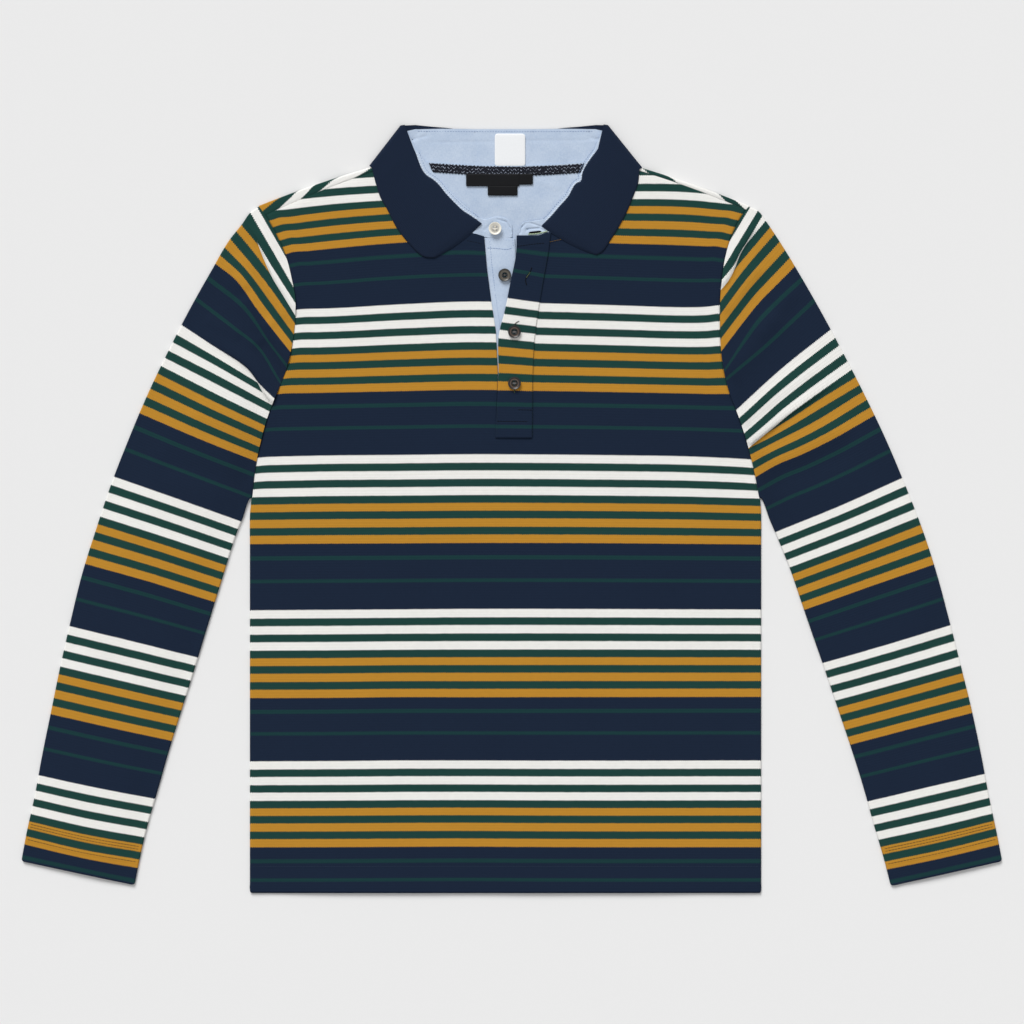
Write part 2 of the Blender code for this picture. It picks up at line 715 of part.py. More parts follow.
# ---------------------------------------------------------------- buttons
def button_profile():
    """Outline of the turned button, from the axis on top, down its outer side, to the axis."""
    radius = 0.5 * BUTTON_DIAMETER
    top, dish = BUTTON_HEIGHT, BUTTON_HEIGHT - BUTTON_DISH
    outline = [(0.0, dish), (radius - BUTTON_RIM, dish)]
    outline += [(radius - share * BUTTON_RIM, top) for share in BUTTON_RIM_TOP]
    outline += [(radius * across, BUTTON_HEIGHT * up) for across, up in BUTTON_SIDE_PLACES]
    return outline + [(0.0, 0.0)]


def button_holes(location, group):
    """Cutter for a button's four holes, kept out of the model's own collection."""
    mesh = bmesh.new()
    for x_sign in (-1, 1):
        for y_sign in (-1, 1):
            made = bmesh.ops.create_cone(
                mesh, cap_ends=True, segments=BUTTON_HOLE_SIDES, radius1=0.5 * BUTTON_HOLE * MM,
                radius2=0.5 * BUTTON_HOLE * MM, depth=BUTTON_DRILL_DEPTH * MM)
            shift = Vector((x_sign * BUTTON_HOLE_SPREAD, y_sign * BUTTON_HOLE_SPREAD, 0.0)) * MM
            bmesh.ops.translate(mesh, verts=made["verts"], vec=shift)
    data = bpy.data.meshes.new("button_holes")
    mesh.to_mesh(data)
    mesh.free()
    cutter = bpy.data.objects.new("button_holes", data)
    cutter.location = location
    cutter.hide_render = True
    cutter.display_type = "WIRE"
    group.objects.link(cutter)
    return cutter


def build_button(name, location, material, group, cutters):
    """A four-hole button turned from its profile, with a dished middle inside a rim."""
    data = bpy.data.meshes.new(name)
    points = [(x * MM, 0.0, z * MM) for x, z in button_profile()]
    data.from_pydata(points, [(i, i + 1) for i in range(len(points) - 1)], [])
    data.materials.append(material)
    item = bpy.data.objects.new(name, data)
    item.location = location
    group.objects.link(item)
    turn = item.modifiers.new("turn", "SCREW")
    turn.steps = BUTTON_SIDES
    turn.render_steps = BUTTON_SIDES
    turn.use_merge_vertices = True
    turn.merge_threshold = MERGE_DISTANCE * MM
    holes = item.modifiers.new("holes", "BOOLEAN")
    holes.operation = "DIFFERENCE"
    holes.object = button_holes(location, cutters)
    return item


# ---------------------------------------------------------------- the garment
def main():
    """Build every piece of the garment."""
    clear_scene()
    group = new_collection("long_sleeve_polo_shirt")
    cutters = new_collection("cutters")
    finish = {name: make_material(name) for name in COLOURS}
    jersey, chambray = finish["striped_jersey"], finish["blue_chambray"]

    build_back(jersey, group)
    build_front(jersey, group)
    build_sleeve("sleeve_right", -1, SLEEVE_RIGHT, FOLDS_RIGHT, jersey, group)
    build_sleeve("sleeve_left", 1, SLEEVE_LEFT, FOLDS_LEFT, jersey, group)
    build_facing(chambray, group)
    build_stand(chambray, group)
    build_collar(finish["navy_knit"], group)
    build_plackets(jersey, chambray, group)
    build_tape(finish["herringbone_tape"], group)
    for row in LABELS:
        build_label(row, finish["label_white" if row[0] == "collar_label" else "label_black"], group)
    for name, x, y, level, pale in BUTTONS:
        material = finish["button_white" if pale else "button_dark"]
        build_button(name, placed((x, y, level)), material, group, cutters)


main()
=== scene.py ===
"""Dressed model of a long-sleeve polo shirt that lies flat on its back.

Sizes are in millimetres in the garment's own frame: x across from the centre line, y up from
the hem, z up from the surface it lies on. Meshes are made in metres in the model's frame.
Lines across the cloth run from low x to high x, and the cloth runs down from them to the hem
or the cuff.
"""

import logging
import math
from dataclasses import dataclass, field
from enum import Enum
from functools import partialmethod
from typing import Callable, Optional, Sequence, Union

import bmesh
import bpy
import numpy as np
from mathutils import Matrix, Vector


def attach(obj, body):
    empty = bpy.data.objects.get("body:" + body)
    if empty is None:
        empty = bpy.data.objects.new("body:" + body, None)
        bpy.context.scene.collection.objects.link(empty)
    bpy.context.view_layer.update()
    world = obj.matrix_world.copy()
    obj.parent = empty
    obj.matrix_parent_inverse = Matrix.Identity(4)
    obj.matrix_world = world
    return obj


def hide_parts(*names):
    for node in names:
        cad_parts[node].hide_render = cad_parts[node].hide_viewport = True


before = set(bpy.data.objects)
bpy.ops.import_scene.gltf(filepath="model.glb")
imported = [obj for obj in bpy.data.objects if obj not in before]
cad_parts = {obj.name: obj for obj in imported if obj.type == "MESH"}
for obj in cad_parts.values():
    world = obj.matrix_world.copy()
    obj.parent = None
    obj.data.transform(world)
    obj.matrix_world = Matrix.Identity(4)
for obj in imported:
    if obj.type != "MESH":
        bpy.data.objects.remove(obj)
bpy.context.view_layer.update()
LOG = logging.getLogger("polo_shirt")

MM = 0.001
BOX_CENTRE = (6.1, 375.4)   # middle of the laid-out garment, from the centre line and the hem
JERSEY = 1.1                # walls, as in the solids
COLLAR_KNIT = 1.2
CHAMBRAY = 1.0
TAPE = 0.7
SEAM_GAP = 0.3
FOLD_HEIGHT = 2.8           # a flattened sleeve at its folded edges
FALL_LIFT = 1.5             # rise of the back over the collar's back
UNDER_LEVEL = 3.7           # upper face of the under placket
STAND_LEVEL = 5.2           # outer face of the stand's front ends
TAPE_LEVEL = 4.9            # upper face of the neck tape
LABEL_LEVEL = 4.2           # underside of the woven labels
SUNK = 0.02                 # how far a row of stitches sinks into the cloth
HALF_BODY = 250.0           # from the centre line to a side seam
ARM_FOOT, ARM_TOP = 386.0, 672.0   # heights of the armhole's two ends
REPEAT = 148.7              # one repeat of the stripes
HALF_TURN = [math.pi * step / 8 for step in range(9)]

Table = Sequence[Sequence[float]]
Points = Sequence[tuple[float, float]]
Array = np.ndarray
Material = bpy.types.Material
Object = bpy.types.Object


# ---------------------------------------------------------------- curves and layers
def smooth(value: Array) -> Array:
    """Return 0 below 0, 1 above 1 and an S-shaped way between them."""
    value = np.clip(value, 0.0, 1.0)
    return value * value * (3.0 - 2.0 * value)


def back_lift(x: Array, y: Array) -> Array:
    """Return the rise of the back panel over the back of the collar."""
    beside = np.maximum(0.0, np.abs(x) - 136.0)
    below = np.maximum(0.0, 682.0 - y)
    return FALL_LIFT * (1.0 - smooth(np.hypot(beside, below) / 40.0))


def front_top(x: Array, y: Array) -> Array:
    """Return the height of the front panel's upper face."""
    across = 1.0 - smooth((np.abs(x) - 125.0) / 115.0)
    loft = 2.6 * across * (0.35 + 0.65 * smooth(y / 300.0))
    return 2.0 * JERSEY + SEAM_GAP + np.maximum(back_lift(x, y), loft)


def edge_drop(distance: Array, radius: float, depth: float) -> Array:
    """Return how far a rounded edge falls away at a distance in from the edge."""
    share = 1.0 - np.clip(distance / radius, 0.0, 1.0)
    return depth * (1.0 - np.sqrt(1.0 - share * share))


def bell(value: Array, reach: float, power: int = 2) -> Array:
    """Return 1 at 0 and less the further a value lies beyond a reach."""
    return np.exp(-((value / reach) ** power))


def run_of(points: Array) -> Array:
    """Return how far along its line each point lies."""
    return np.concatenate([[0.0], np.cumsum(np.linalg.norm(np.diff(points, axis=0), axis=1))])


def between(rows: Array, share: Array) -> tuple[Array, ...]:
    """Return x and y at a share of the way from each row's first point to its second one."""
    return tuple(rows[:, k:k + 1] + (rows[:, k + 2:k + 3] - rows[:, k:k + 1]) * share for k in (0, 1))


def grid(x: Array, y: Array, z: Array) -> Array:
    """Return the points that have these coordinates."""
    return np.stack(np.broadcast_arrays(x, y, z), -1)


def taken(layers: Array, index: Array) -> Array:
    """Return each point's value in the layer that its index names."""
    return np.take_along_axis(layers, index[None], 0)[0]


def drawn_out(table: Table, spacing: float, pairs: int = 2) -> Array:
    """Draw a smooth curve through the rows of a table.

    Args:
        table: Rows of numbers, of which the first ones are x, y pairs.
        spacing: Largest distance between two rows of the result.
        pairs: How many x, y pairs are measured for the spacing.

    Returns:
        The finer rows.
    """
    rows = np.asarray(table, float)
    steps = np.diff(rows[:, :2 * pairs], axis=0).reshape(len(rows) - 1, pairs, 2)
    chord = np.maximum(np.hypot(steps[..., 0], steps[..., 1]).max(1), 1e-6)
    slope = np.diff(rows, axis=0) / chord[:, None]
    before, after = chord[:-1, None], chord[1:, None]
    middle = (after * slope[:-1] + before * slope[1:]) / (before + after)
    tangent = np.vstack([slope[:1], middle, slope[-1:]])
    made = [rows[:1]]
    for i, length in enumerate(chord):
        t = np.linspace(0.0, 1.0, max(1, math.ceil(length / spacing)) + 1)[1:, None]
        bend = (t**3 - 2 * t**2 + t) * tangent[i] + (t**3 - t**2) * tangent[i + 1]
        made.append((2 * t**3 - 3 * t**2 + 1) * rows[i] + (3 * t**2 - 2 * t**3) * rows[i + 1] + length * bend)
    return np.vstack(made)


def shares(width: float, step: float) -> Array:
    """Return places from 0 to 1 across a width, close together at both ends."""
    fine = np.array([0.0, 0.35, 0.9, 1.7, 2.9])
    middle = np.linspace(4.4, width - 4.4, max(2, math.ceil((width - 8.8) / step)))
    return np.concatenate([fine, middle, (width - fine)[::-1]]) / width


def offset_from(line: Points, x: Array, y: Array) -> tuple[Array, Array, Array]:
    """Measure points from a line whose two ends run on straight.

    Args:
        line: The line's points, from low x to high x.
        x: Points' x, of any shape.
        y: Points' y, of the same shape.

    Returns:
        The distance, positive below the line, and the x and y of the nearest point on it.
    """
    best = np.full(np.shape(x), np.inf)
    signed, near_x, near_y = np.zeros_like(best), np.zeros_like(best), np.zeros_like(best)
    for i, ((ax, ay), (bx, by)) in enumerate(zip(line, line[1:])):
        dx, dy = bx - ax, by - ay
        t = ((x - ax) * dx + (y - ay) * dy) / (dx * dx + dy * dy)
        t = np.clip(t, -np.inf if i == 0 else 0.0, np.inf if i == len(line) - 2 else 1.0)
        qx, qy = ax + t * dx, ay + t * dy
        distance = np.hypot(x - qx, y - qy)
        nearer = distance < best
        best = np.where(nearer, distance, best)
        side = np.where(dx * (y - qy) - dy * (x - qx) > 0.0, -1.0, 1.0)
        signed = np.where(nearer, distance * side, signed)
        near_x, near_y = np.where(nearer, qx, near_x), np.where(nearer, qy, near_y)
    return signed, near_x, near_y


@dataclass(frozen=True)
class Stripes:
    """Where the cloth's stripes run over a panel: lines that each have one cloth coordinate."""

    lines: tuple[tuple[float, Points], ...]

    def at(self, x: Array, y: Array) -> Array:
        """Return the cloth coordinate down the repeat, in millimetres, at some points."""
        values = np.array([value for value, _ in self.lines])
        offsets = np.array([offset_from(drawn_out(line, 8.0, 1), x, y)[0] for _, line in self.lines])
        index = np.clip((offsets >= 0.0).sum(0) - 1, 0, len(values) - 2)
        above, below = taken(offsets, index), taken(offsets, index + 1)
        gap = np.where(np.abs(above - below) < 1e-6, 1.0, above - below)
        inside = values[index] + (values[index + 1] - values[index]) * above / gap
        outside = np.where(offsets[0] < 0.0, values[0] + offsets[0], values[-1] + offsets[-1])
        return np.where((offsets[0] < 0.0) | (offsets[-1] >= 0.0), outside, inside)


def level_stripes(columns: Sequence[float], rows: Sequence[tuple[float, Sequence[float]]]) -> Stripes:
    """Return the stripes of a panel whose lines are given by their heights at some columns."""
    return Stripes(tuple((value, tuple(zip(columns, heights))) for value, heights in rows))


BODY_STRIPES = level_stripes(
    (-244.1, -173.7, -103.2, -32.8, 37.7, 108.1, 178.6, 234.4), (
        (-117.4, (673.6, 681, 685.3, 686.8, 687, 686, 685.1, 679.5)),
        (-102.3, (657, 666.5, 671.8, 673.6, 673.5, 672.3, 671.2, 666)),
        (-63.1, (622.7, 630.1, 636.2, 638.9, 637.9, 635.5, 633.5, 631)),
        (0, (571.2, 571.6, 575.5, 578.3, 576.6, 574.6, 572.7, 574.3)),
        (85.6, (488.8, 489.7, 491.2, 492.5, 491.4, 490.2, 488.9, 487.7)),
        (148.7, (426.3, 427.9, 428.4, 429.1, 428.8, 428.1, 427, 424.6)),
        (234.4, (341.6, 342.1, 342.4, 342.8, 342.8, 342.5, 341.9, 341.4)),
        (297.5, (276.4, 276.9, 277.4, 277.9, 277.9, 277.7, 277.4, 277.2)),
        (383.1, (191, 191.3, 192.1, 192, 192.1, 192.2, 192.2, 192.2)),
        (446.2, (128.7, 129.1, 129.7, 129.7, 129.5, 129.5, 129.6, 129.6)),
        (531.8, (45.1, 45.3, 45.7, 45.9, 45.5, 45.3, 45.3, 45.3))))
PLACKET_STRIPES = Stripes((
    (-63.1, ((4.4, 645), (38.7, 647.5))),
    (-50.9, ((4.4, 630.5), (38.7, 626.1))),
    (-28.9, ((1.5, 611.5), (42.6, 604.1))),
    (0, ((1.7, 581.7), (14.2, 579.8), (33.8, 577.2))),
    (39.1, ((-6.2, 542.8), (27.9, 539.1))),
    (85.6, ((-8.3, 491.9), (9.3, 491.7), (26.3, 491.1))),
    (148.7, ((-8.3, 428.9), (25.9, 428.8)))))


# ---------------------------------------------------------------- meshes
def placed(points: Array) -> Array:
    """Return garment points in millimetres as points of the model in metres."""
    return (np.asarray(points, float) - (*BOX_CENTRE, 0.0)) * MM


def place(x: float, y: float, z: float) -> Vector:
    """Return one garment point in millimetres as a point of the model in metres."""
    return Vector(placed(np.array([x, y, z])))


@dataclass
class Patch:
    """A grid of points on the outside of a cloth, with the cloth coordinates of each point.

    Attributes:
        points: Rows by columns by x, y, z.
        across: Cloth coordinate along the stripes.
        down: Cloth coordinate down the repeat.
        tuck: Distance from the nearest tuck, positive below it.
        beyond: Cloth coordinate down the repeat that holds on the far side of that tuck.
        closed: Whether each row is a ring.
        flip: Whether the faces are turned over.
    """

    points: Array
    across: Array
    down: Array
    tuck: Optional[Array] = None
    beyond: Optional[Array] = None
    closed: bool = False
    flip: bool = False

    def faces(self, start: int) -> Array:
        """Return the quads between the grid's points, numbered from start."""
        rows, columns = self.points.shape[:2]
        index = np.arange(rows * columns).reshape(rows, columns) + start
        after = np.roll(index, -1, 1)
        corners = np.stack([index[:-1], after[:-1], after[1:], index[1:]], -1)
        corners = corners if self.closed else corners[:, :-1]
        return corners.reshape(-1, 4)[:, ::-1] if self.flip else corners.reshape(-1, 4)

    def maps(self) -> tuple[Array, Array]:
        """Return the two maps of cloth coordinates, one row for each point."""
        tuck = np.full_like(self.down, -1.0) if self.tuck is None else self.tuck
        beyond = self.down if self.beyond is None else self.beyond
        first = np.stack([self.across, self.down], -1).reshape(-1, 2)
        return first, np.stack([tuck, beyond], -1).reshape(-1, 2)


def new_object(name: str, mesh: bpy.types.Mesh, material: Material) -> Object:
    """Link a new object for a mesh, with its material."""
    mesh.materials.append(material)
    item = bpy.data.objects.new(name, mesh)
    bpy.context.scene.collection.objects.link(item)
    return item


def apply_all(item: Object) -> None:
    """Apply an object's modifiers in their order."""
    bpy.ops.object.select_all(action="DESELECT")
    bpy.context.view_layer.objects.active = item
    item.select_set(True)
    for modifier in list(item.modifiers):
        bpy.ops.object.modifier_apply(modifier=modifier.name)


def cloth(name: str, patches: Sequence[Patch], wall: float, material: Material) -> Object:
    """Make a sheet of cloth with a wall that grows inwards from its outer points.

    Args:
        name: Name of the piece.
        patches: Grids whose shared borders are merged.
        wall: Thickness of the cloth.
        material: Its finish.

    Returns:
        The finished object.
    """
    points, faces, maps, start = [], [], [], 0
    for patch in patches:
        points.append(placed(patch.points).reshape(-1, 3))
        faces.append(patch.faces(start))
        maps.append(patch.maps())
        start += len(points[-1])
    mesh = bpy.data.meshes.new(name)
    mesh.from_pydata(np.vstack(points).tolist(), [], np.vstack(faces).tolist())
    corners = np.empty(len(mesh.loops), dtype=np.int64)
    mesh.loops.foreach_get("vertex_index", corners)
    for title, values in zip(("cloth", "tuck"), map(np.vstack, zip(*maps))):
        layer = mesh.uv_layers.new(name=title)
        layer.uv.foreach_set("vector", values[corners].astype(np.float32).ravel())
    work = bmesh.new()
    work.from_mesh(mesh)
    bmesh.ops.remove_doubles(work, verts=work.verts, dist=0.01 * MM)
    work.to_mesh(mesh)
    work.free()
    item = new_object(name, mesh, material)
    shell = item.modifiers.new("wall", "SOLIDIFY")
    shell.thickness = wall * MM
    shell.offset = -1.0
    shell.use_even_offset = False
    apply_all(item)
    item.data.shade_smooth()
    item.data.set_sharp_from_angle(angle=math.radians(50.0))
    return item


def sewn_down(name: str, lines: Sequence[Array], material: Material,
              length: float = 2.4, pitch: float = 3.3, width: float = 0.5) -> Object:
    """Make rows of stitches that lie along lines on the cloth.

    Args:
        name: Name of the piece.
        lines: Points of each row of stitches, x, y, z.
        material: The thread's finish.
        length: Length of one stitch.
        pitch: Distance from one stitch to the next.
        width: Thickness of the thread.

    Returns:
        One object with all the stitches.
    """
    sides = 6
    turn = (np.arange(sides) * 2.0 * math.pi / sides)[:, None]
    stations = ((-0.5, 0.35, -0.30), (-0.3, 1.0, 0.05), (0.3, 1.0, 0.05), (0.5, 0.35, -0.30))
    points, faces = [], []
    for line in lines:
        line = np.asarray(line, float)
        run = run_of(line)
        for middle in np.arange(0.5 * pitch, run[-1] - 0.3 * pitch, pitch):
            low, high = (np.array([np.interp(middle + shift, run, line[:, k]) for k in range(3)])
                         for shift in (-0.5 * length, 0.5 * length))
            along = (high - low) / max(np.linalg.norm(high - low), 1e-6)
            beside = np.array([-along[1], along[0], 0.0])
            beside /= max(np.linalg.norm(beside), 1e-6)
            up = np.cross(along, beside)
            start, centre = len(points) * sides, 0.5 * (low + high)
            for shift, size, rise in stations:
                origin = centre + along * length * shift + up * (rise * width)
                ring = np.cos(turn) * beside + 0.8 * np.sin(turn) * up
                points.append(origin + 0.5 * width * size * ring)
            for row in range(len(stations) - 1):
                for k in range(sides):
                    a, b = start + row * sides + k, start + row * sides + (k + 1) % sides
                    faces.append((a, a + sides, b + sides, b))
            faces.append(tuple(start + k for k in range(sides)))
            faces.append(tuple(start + 3 * sides + k for k in reversed(range(sides))))
    mesh = bpy.data.meshes.new(name)
    mesh.from_pydata(placed(np.vstack(points)).tolist(), [], faces)
    mesh.shade_smooth()
    return new_object(name, mesh, material)


# ---------------------------------------------------------------- shaders
def srgb(red: int, green: int, blue: int) -> tuple[float, float, float, float]:
    """Return a screen colour as a linear colour."""
    linear = (((c / 255.0 + 0.055) / 1.055) ** 2.4 if c > 10 else c / 3294.6 for c in (red, green, blue))
    return (*linear, 1.0)


class Value:
    """A shader socket that is added, multiplied and compared like a number."""

    def __init__(self, web: "Web", socket: bpy.types.NodeSocket) -> None:
        """Keep the socket and the shader it belongs to."""
        self.web, self.socket = web, socket

    def maths(self, operation: str, other: "Number" = 0.0, swap: bool = False) -> "Value":
        """Return the result of a Math node on this value and another one."""
        values = (other, self) if swap else (self, other)
        return self.web.node("ShaderNodeMath", {"operation": operation}, dict(enumerate(values)))

    __add__ = __radd__ = partialmethod(maths, "ADD")
    __sub__ = partialmethod(maths, "SUBTRACT")
    __rsub__ = partialmethod(maths, "SUBTRACT", swap=True)
    __mul__ = __rmul__ = partialmethod(maths, "MULTIPLY")
    __truediv__ = partialmethod(maths, "DIVIDE")
    __gt__ = partialmethod(maths, "GREATER_THAN")

    def wave(self, length: float) -> "Value":
        """Return a sine that repeats after a length."""
        return (self * (2.0 * math.pi / length)).maths("SINE")


Number = Union[float, Value]


class Web:
    """The nodes of one material."""

    def __init__(self, name: str) -> None:
        """Start a material with a Principled shader."""
        self.material = bpy.data.materials.new(name)
        self.material.use_nodes = True
        self.tree = self.material.node_tree
        self.shader = self.tree.nodes["Principled BSDF"]

    def node(self, kind: str, settings: Optional[dict] = None, inputs: Optional[dict] = None,
             output: Union[int, str] = 0) -> Value:
        """Add a node.

        Args:
            kind: Type of the node.
            settings: Its settings; "stops" are the places and colours of a ramp.
            inputs: Values or links of its sockets, by name or number.
            output: Which output is given back.

        Returns:
            That output.
        """
        made = self.tree.nodes.new(kind)
        for key, value in (settings or {}).items():
            if key == "stops":
                made.color_ramp.interpolation = "CONSTANT"
                for i, (at, colour) in enumerate(value):
                    stop = made.color_ramp.elements[i] if i < 2 else made.color_ramp.elements.new(at)
                    stop.position, stop.color = at, colour
            else:
                setattr(made, key, value)
        for key, value in (inputs or {}).items():
            self.put(made.inputs[key], value)
        return Value(self, made.outputs[output])

    def put(self, socket: bpy.types.NodeSocket, value: object) -> None:
        """Link a socket to a value, or set it."""
        if isinstance(value, Value):
            self.tree.links.new(value.socket, socket)
        else:
            socket.default_value = value

    def dress(self, **inputs: object) -> Material:
        """Set the shader's sockets, named with low lines for spaces, and return the material."""
        for key, value in inputs.items():
            self.put(self.shader.inputs[key.replace("_", " ")], value)
        return self.material

    def map(self, name: str) -> tuple[Value, Value]:
        """Return the two coordinates of one of the piece's maps."""
        found = self.node("ShaderNodeUVMap", {"uv_map": name})
        split = self.node("ShaderNodeSeparateXYZ", None, {0: found})
        return split, Value(self, split.socket.node.outputs[1])

    def join(self, x: Number, y: Number, z: Number = 0.0) -> Value:
        """Return a vector of three values."""
        return self.node("ShaderNodeCombineXYZ", None, {0: x, 1: y, 2: z})

    def noise(self, vector: Value, scale: float, detail: float = 2.0, rough: float = 0.5) -> Value:
        """Return soft noise around a half."""
        return self.node("ShaderNodeTexNoise", None,
                         {"Vector": vector, "Scale": scale, "Detail": detail, "Roughness": rough})

    def mix(self, share: Number, first: object, second: object, blend: str = "MIX") -> Value:
        """Mix two colours."""
        return self.node("ShaderNodeMix", {"data_type": "RGBA", "blend_type": blend},
                         {0: share, 6: first, 7: second}, 2)

    def shade(self, colour: object, light: Value) -> Value:
        """Return a colour made lighter or darker."""
        return self.mix(1.0, colour, self.join(light, light, light), "MULTIPLY")

    def bump(self, height: Value, strength: float) -> Value:
        """Return a normal that follows a height in millimetres."""
        return self.node("ShaderNodeBump", None, {"Strength": strength, "Distance": MM, "Height": height})


WHITE, OCHRE, GREEN = srgb(233, 232, 228), srgb(182, 130, 43), srgb(25, 61, 56)
NAVY, TEAL = srgb(21, 34, 54), srgb(20, 53, 56)


@dataclass(frozen=True)
class StripedJersey:
    """Compact cotton jersey, knitted in stripes.

    Attributes:
        stripes: Start of each stripe in the repeat, in millimetres, and its colour.
        wale: Width of one knitted column.
        course: Height of one knitted row.
        tooth: Width and height of the teeth where two stripes meet.
    """

    stripes: tuple = (
        (0, WHITE), (7.83, GREEN), (15.66, WHITE), (23.5, GREEN), (31.3, WHITE), (39.1, GREEN), (46.5, OCHRE),
        (54.3, GREEN), (62.1, OCHRE), (70, GREEN), (77.8, OCHRE), (85.6, NAVY), (97.5, TEAL), (101.1, NAVY),
        (119.5, TEAL), (123.1, NAVY))
    wale: float = 0.93
    course: float = 1.3
    tooth: tuple[float, float] = (1.86, 0.9)

    def material(self) -> Material:
        """Return the finish."""
        web = Web("striped_jersey_knit")
        across, down = web.map("cloth")
        tuck, beyond = web.map("tuck")
        run = down + (beyond - down) * (tuck > 0.0)
        teeth = (across / self.tooth[0]).maths("PINGPONG", 0.5) * (2.0 * self.tooth[1])
        drift = web.join(across, run * 0.1)
        wander = web.noise(drift, 0.14) * 0.4 + web.noise(drift, 0.6) * 0.5
        mean = 0.5 * self.tooth[1] + 0.45
        phase = ((run + teeth + wander - mean) / REPEAT).maths("FRACT")
        stops = [(start / REPEAT, colour) for start, colour in self.stripes]
        stripes = web.node("ShaderNodeValToRGB", {"stops": stops}, {0: phase})
        place = web.join(across, run)
        mottle = web.noise(place, 0.9, 3.0, 0.7)
        heather = web.noise(web.join(across * 0.6, run), 0.3, 2.0, 0.6)
        rows, loops = run.wave(2.0 * self.course), across.wave(self.wale)
        light = 0.78 + mottle * 0.26 + heather * 0.10 + web.noise(place, 0.02, 3.0) * 0.08 + rows * 0.014
        height = loops * 0.05 + rows * 0.05 + mottle * 0.12
        return web.dress(Base_Color=web.shade(stripes, light), Roughness=0.78 + mottle * 0.2,
                         Sheen_Weight=0.03, Sheen_Roughness=0.5, Specular_IOR_Level=0.12,
                         Normal=web.bump(height, 0.55))


@dataclass(frozen=True)
class FlatKnit:
    """Flat-knit navy cotton of a polo collar."""

    colour: tuple = srgb(21, 33, 53)
    rib: float = 1.25
    row: float = 0.95
    twill: float = 2.1

    def material(self) -> Material:
        """Return the finish."""
        web = Web("navy_flat_knit")
        across, down = web.map("cloth")
        ribs, rows = across.wave(self.rib), down.wave(self.row)
        fuzz = web.noise(web.join(across, down), 0.8, 3.0, 0.7)
        twill = (across + down * 0.7).wave(self.twill)
        light = 0.72 + fuzz * 0.56 + ribs * 0.05 + twill * 0.05
        return web.dress(Base_Color=web.shade(self.colour, light), Roughness=0.8 + fuzz * 0.15,
                         Sheen_Weight=0.04, Sheen_Roughness=0.5, Specular_IOR_Level=0.12,
                         Normal=web.bump(ribs * 0.09 + rows * 0.04 + fuzz * 0.08, 0.6))


@dataclass(frozen=True)
class ChambrayCloth:
    """Light blue chambray: blue warp and white weft."""

    blue: tuple = srgb(154, 174, 202)
    pale: tuple = srgb(206, 218, 233)

    def material(self) -> Material:
        """Return the finish."""
        web = Web("blue_chambray_weave")
        across, down = web.map("cloth")
        warp = web.noise(web.join(across, down * 0.25), 1.3, 3.0, 0.7)
        weft = web.noise(web.join(across * 0.25, down), 1.3, 3.0, 0.7)
        wash = web.noise(web.join(across, down), 0.05, 3.0)
        share = web.node("ShaderNodeClamp", None, {0: warp * 0.8 - weft * 0.6 + wash * 0.6 + 0.1})
        return web.dress(Base_Color=web.mix(share, self.blue, self.pale), Roughness=0.78 + weft * 0.1,
                         Specular_IOR_Level=0.15, Sheen_Weight=0.04,
                         Normal=web.bump(warp * 0.1 + weft * 0.1, 0.5))


@dataclass(frozen=True)
class HerringboneTape:
    """Dark twill tape with a herringbone weave."""

    dark: tuple = srgb(14, 18, 30)
    light: tuple = srgb(158, 166, 184)
    bone: float = 4.4
    pitch: float = 3.4

    def material(self) -> Material:
        """Return the finish."""
        web = Web("herringbone_twill_tape")
        across, down = web.map("cloth")
        fuzz = web.noise(web.join(across, down), 1.2, 2.0, 0.7)
        slant = (across / self.bone).maths("PINGPONG", 0.5) * 4.2
        twill = ((down + slant + fuzz * 1.2) / self.pitch).maths("FRACT") > 0.74
        chain = web.noise(web.join(across, down * 0.8), 0.55, 3.0, 0.7) > 0.53
        colour = web.mix(twill * chain * (fuzz + 0.3), self.dark, self.light)
        return web.dress(Base_Color=colour, Roughness=0.8, Specular_IOR_Level=0.25,
                         Normal=web.bump(twill * 0.2 + fuzz * 0.1, 0.6))


@dataclass(frozen=True)
class WovenSatin:
    """Black woven label, blank."""

    colour: tuple = srgb(14, 15, 18)

    def material(self) -> Material:
        """Return the finish."""
        web = Web("black_label_satin")
        across, down = web.map("cloth")
        weft = web.noise(web.join(across * 0.3, down * 2.0), 1.2, 2.0, 0.6)
        return web.dress(Base_Color=web.shade(self.colour, 0.8 + weft * 0.5), Roughness=0.55 + weft * 0.1,
                         Specular_IOR_Level=0.15, Normal=web.bump(weft * 0.1, 0.4))


@dataclass(frozen=True)
class SealedFilm:
    """White heat-sealed label, blank: a thin matt film that takes the weave below it."""

    colour: tuple = srgb(236, 238, 240)

    def material(self) -> Material:
        """Return the finish."""
        web = Web("white_sealed_film")
        across, down = web.map("cloth")
        weave = web.noise(web.join(across, down), 0.8, 2.0, 0.6)
        return web.dress(Base_Color=web.shade(self.colour, 0.94 + weave * 0.1),
                         Roughness=0.45 + weave * 0.1, Normal=web.bump(weave * 0.1, 0.3))


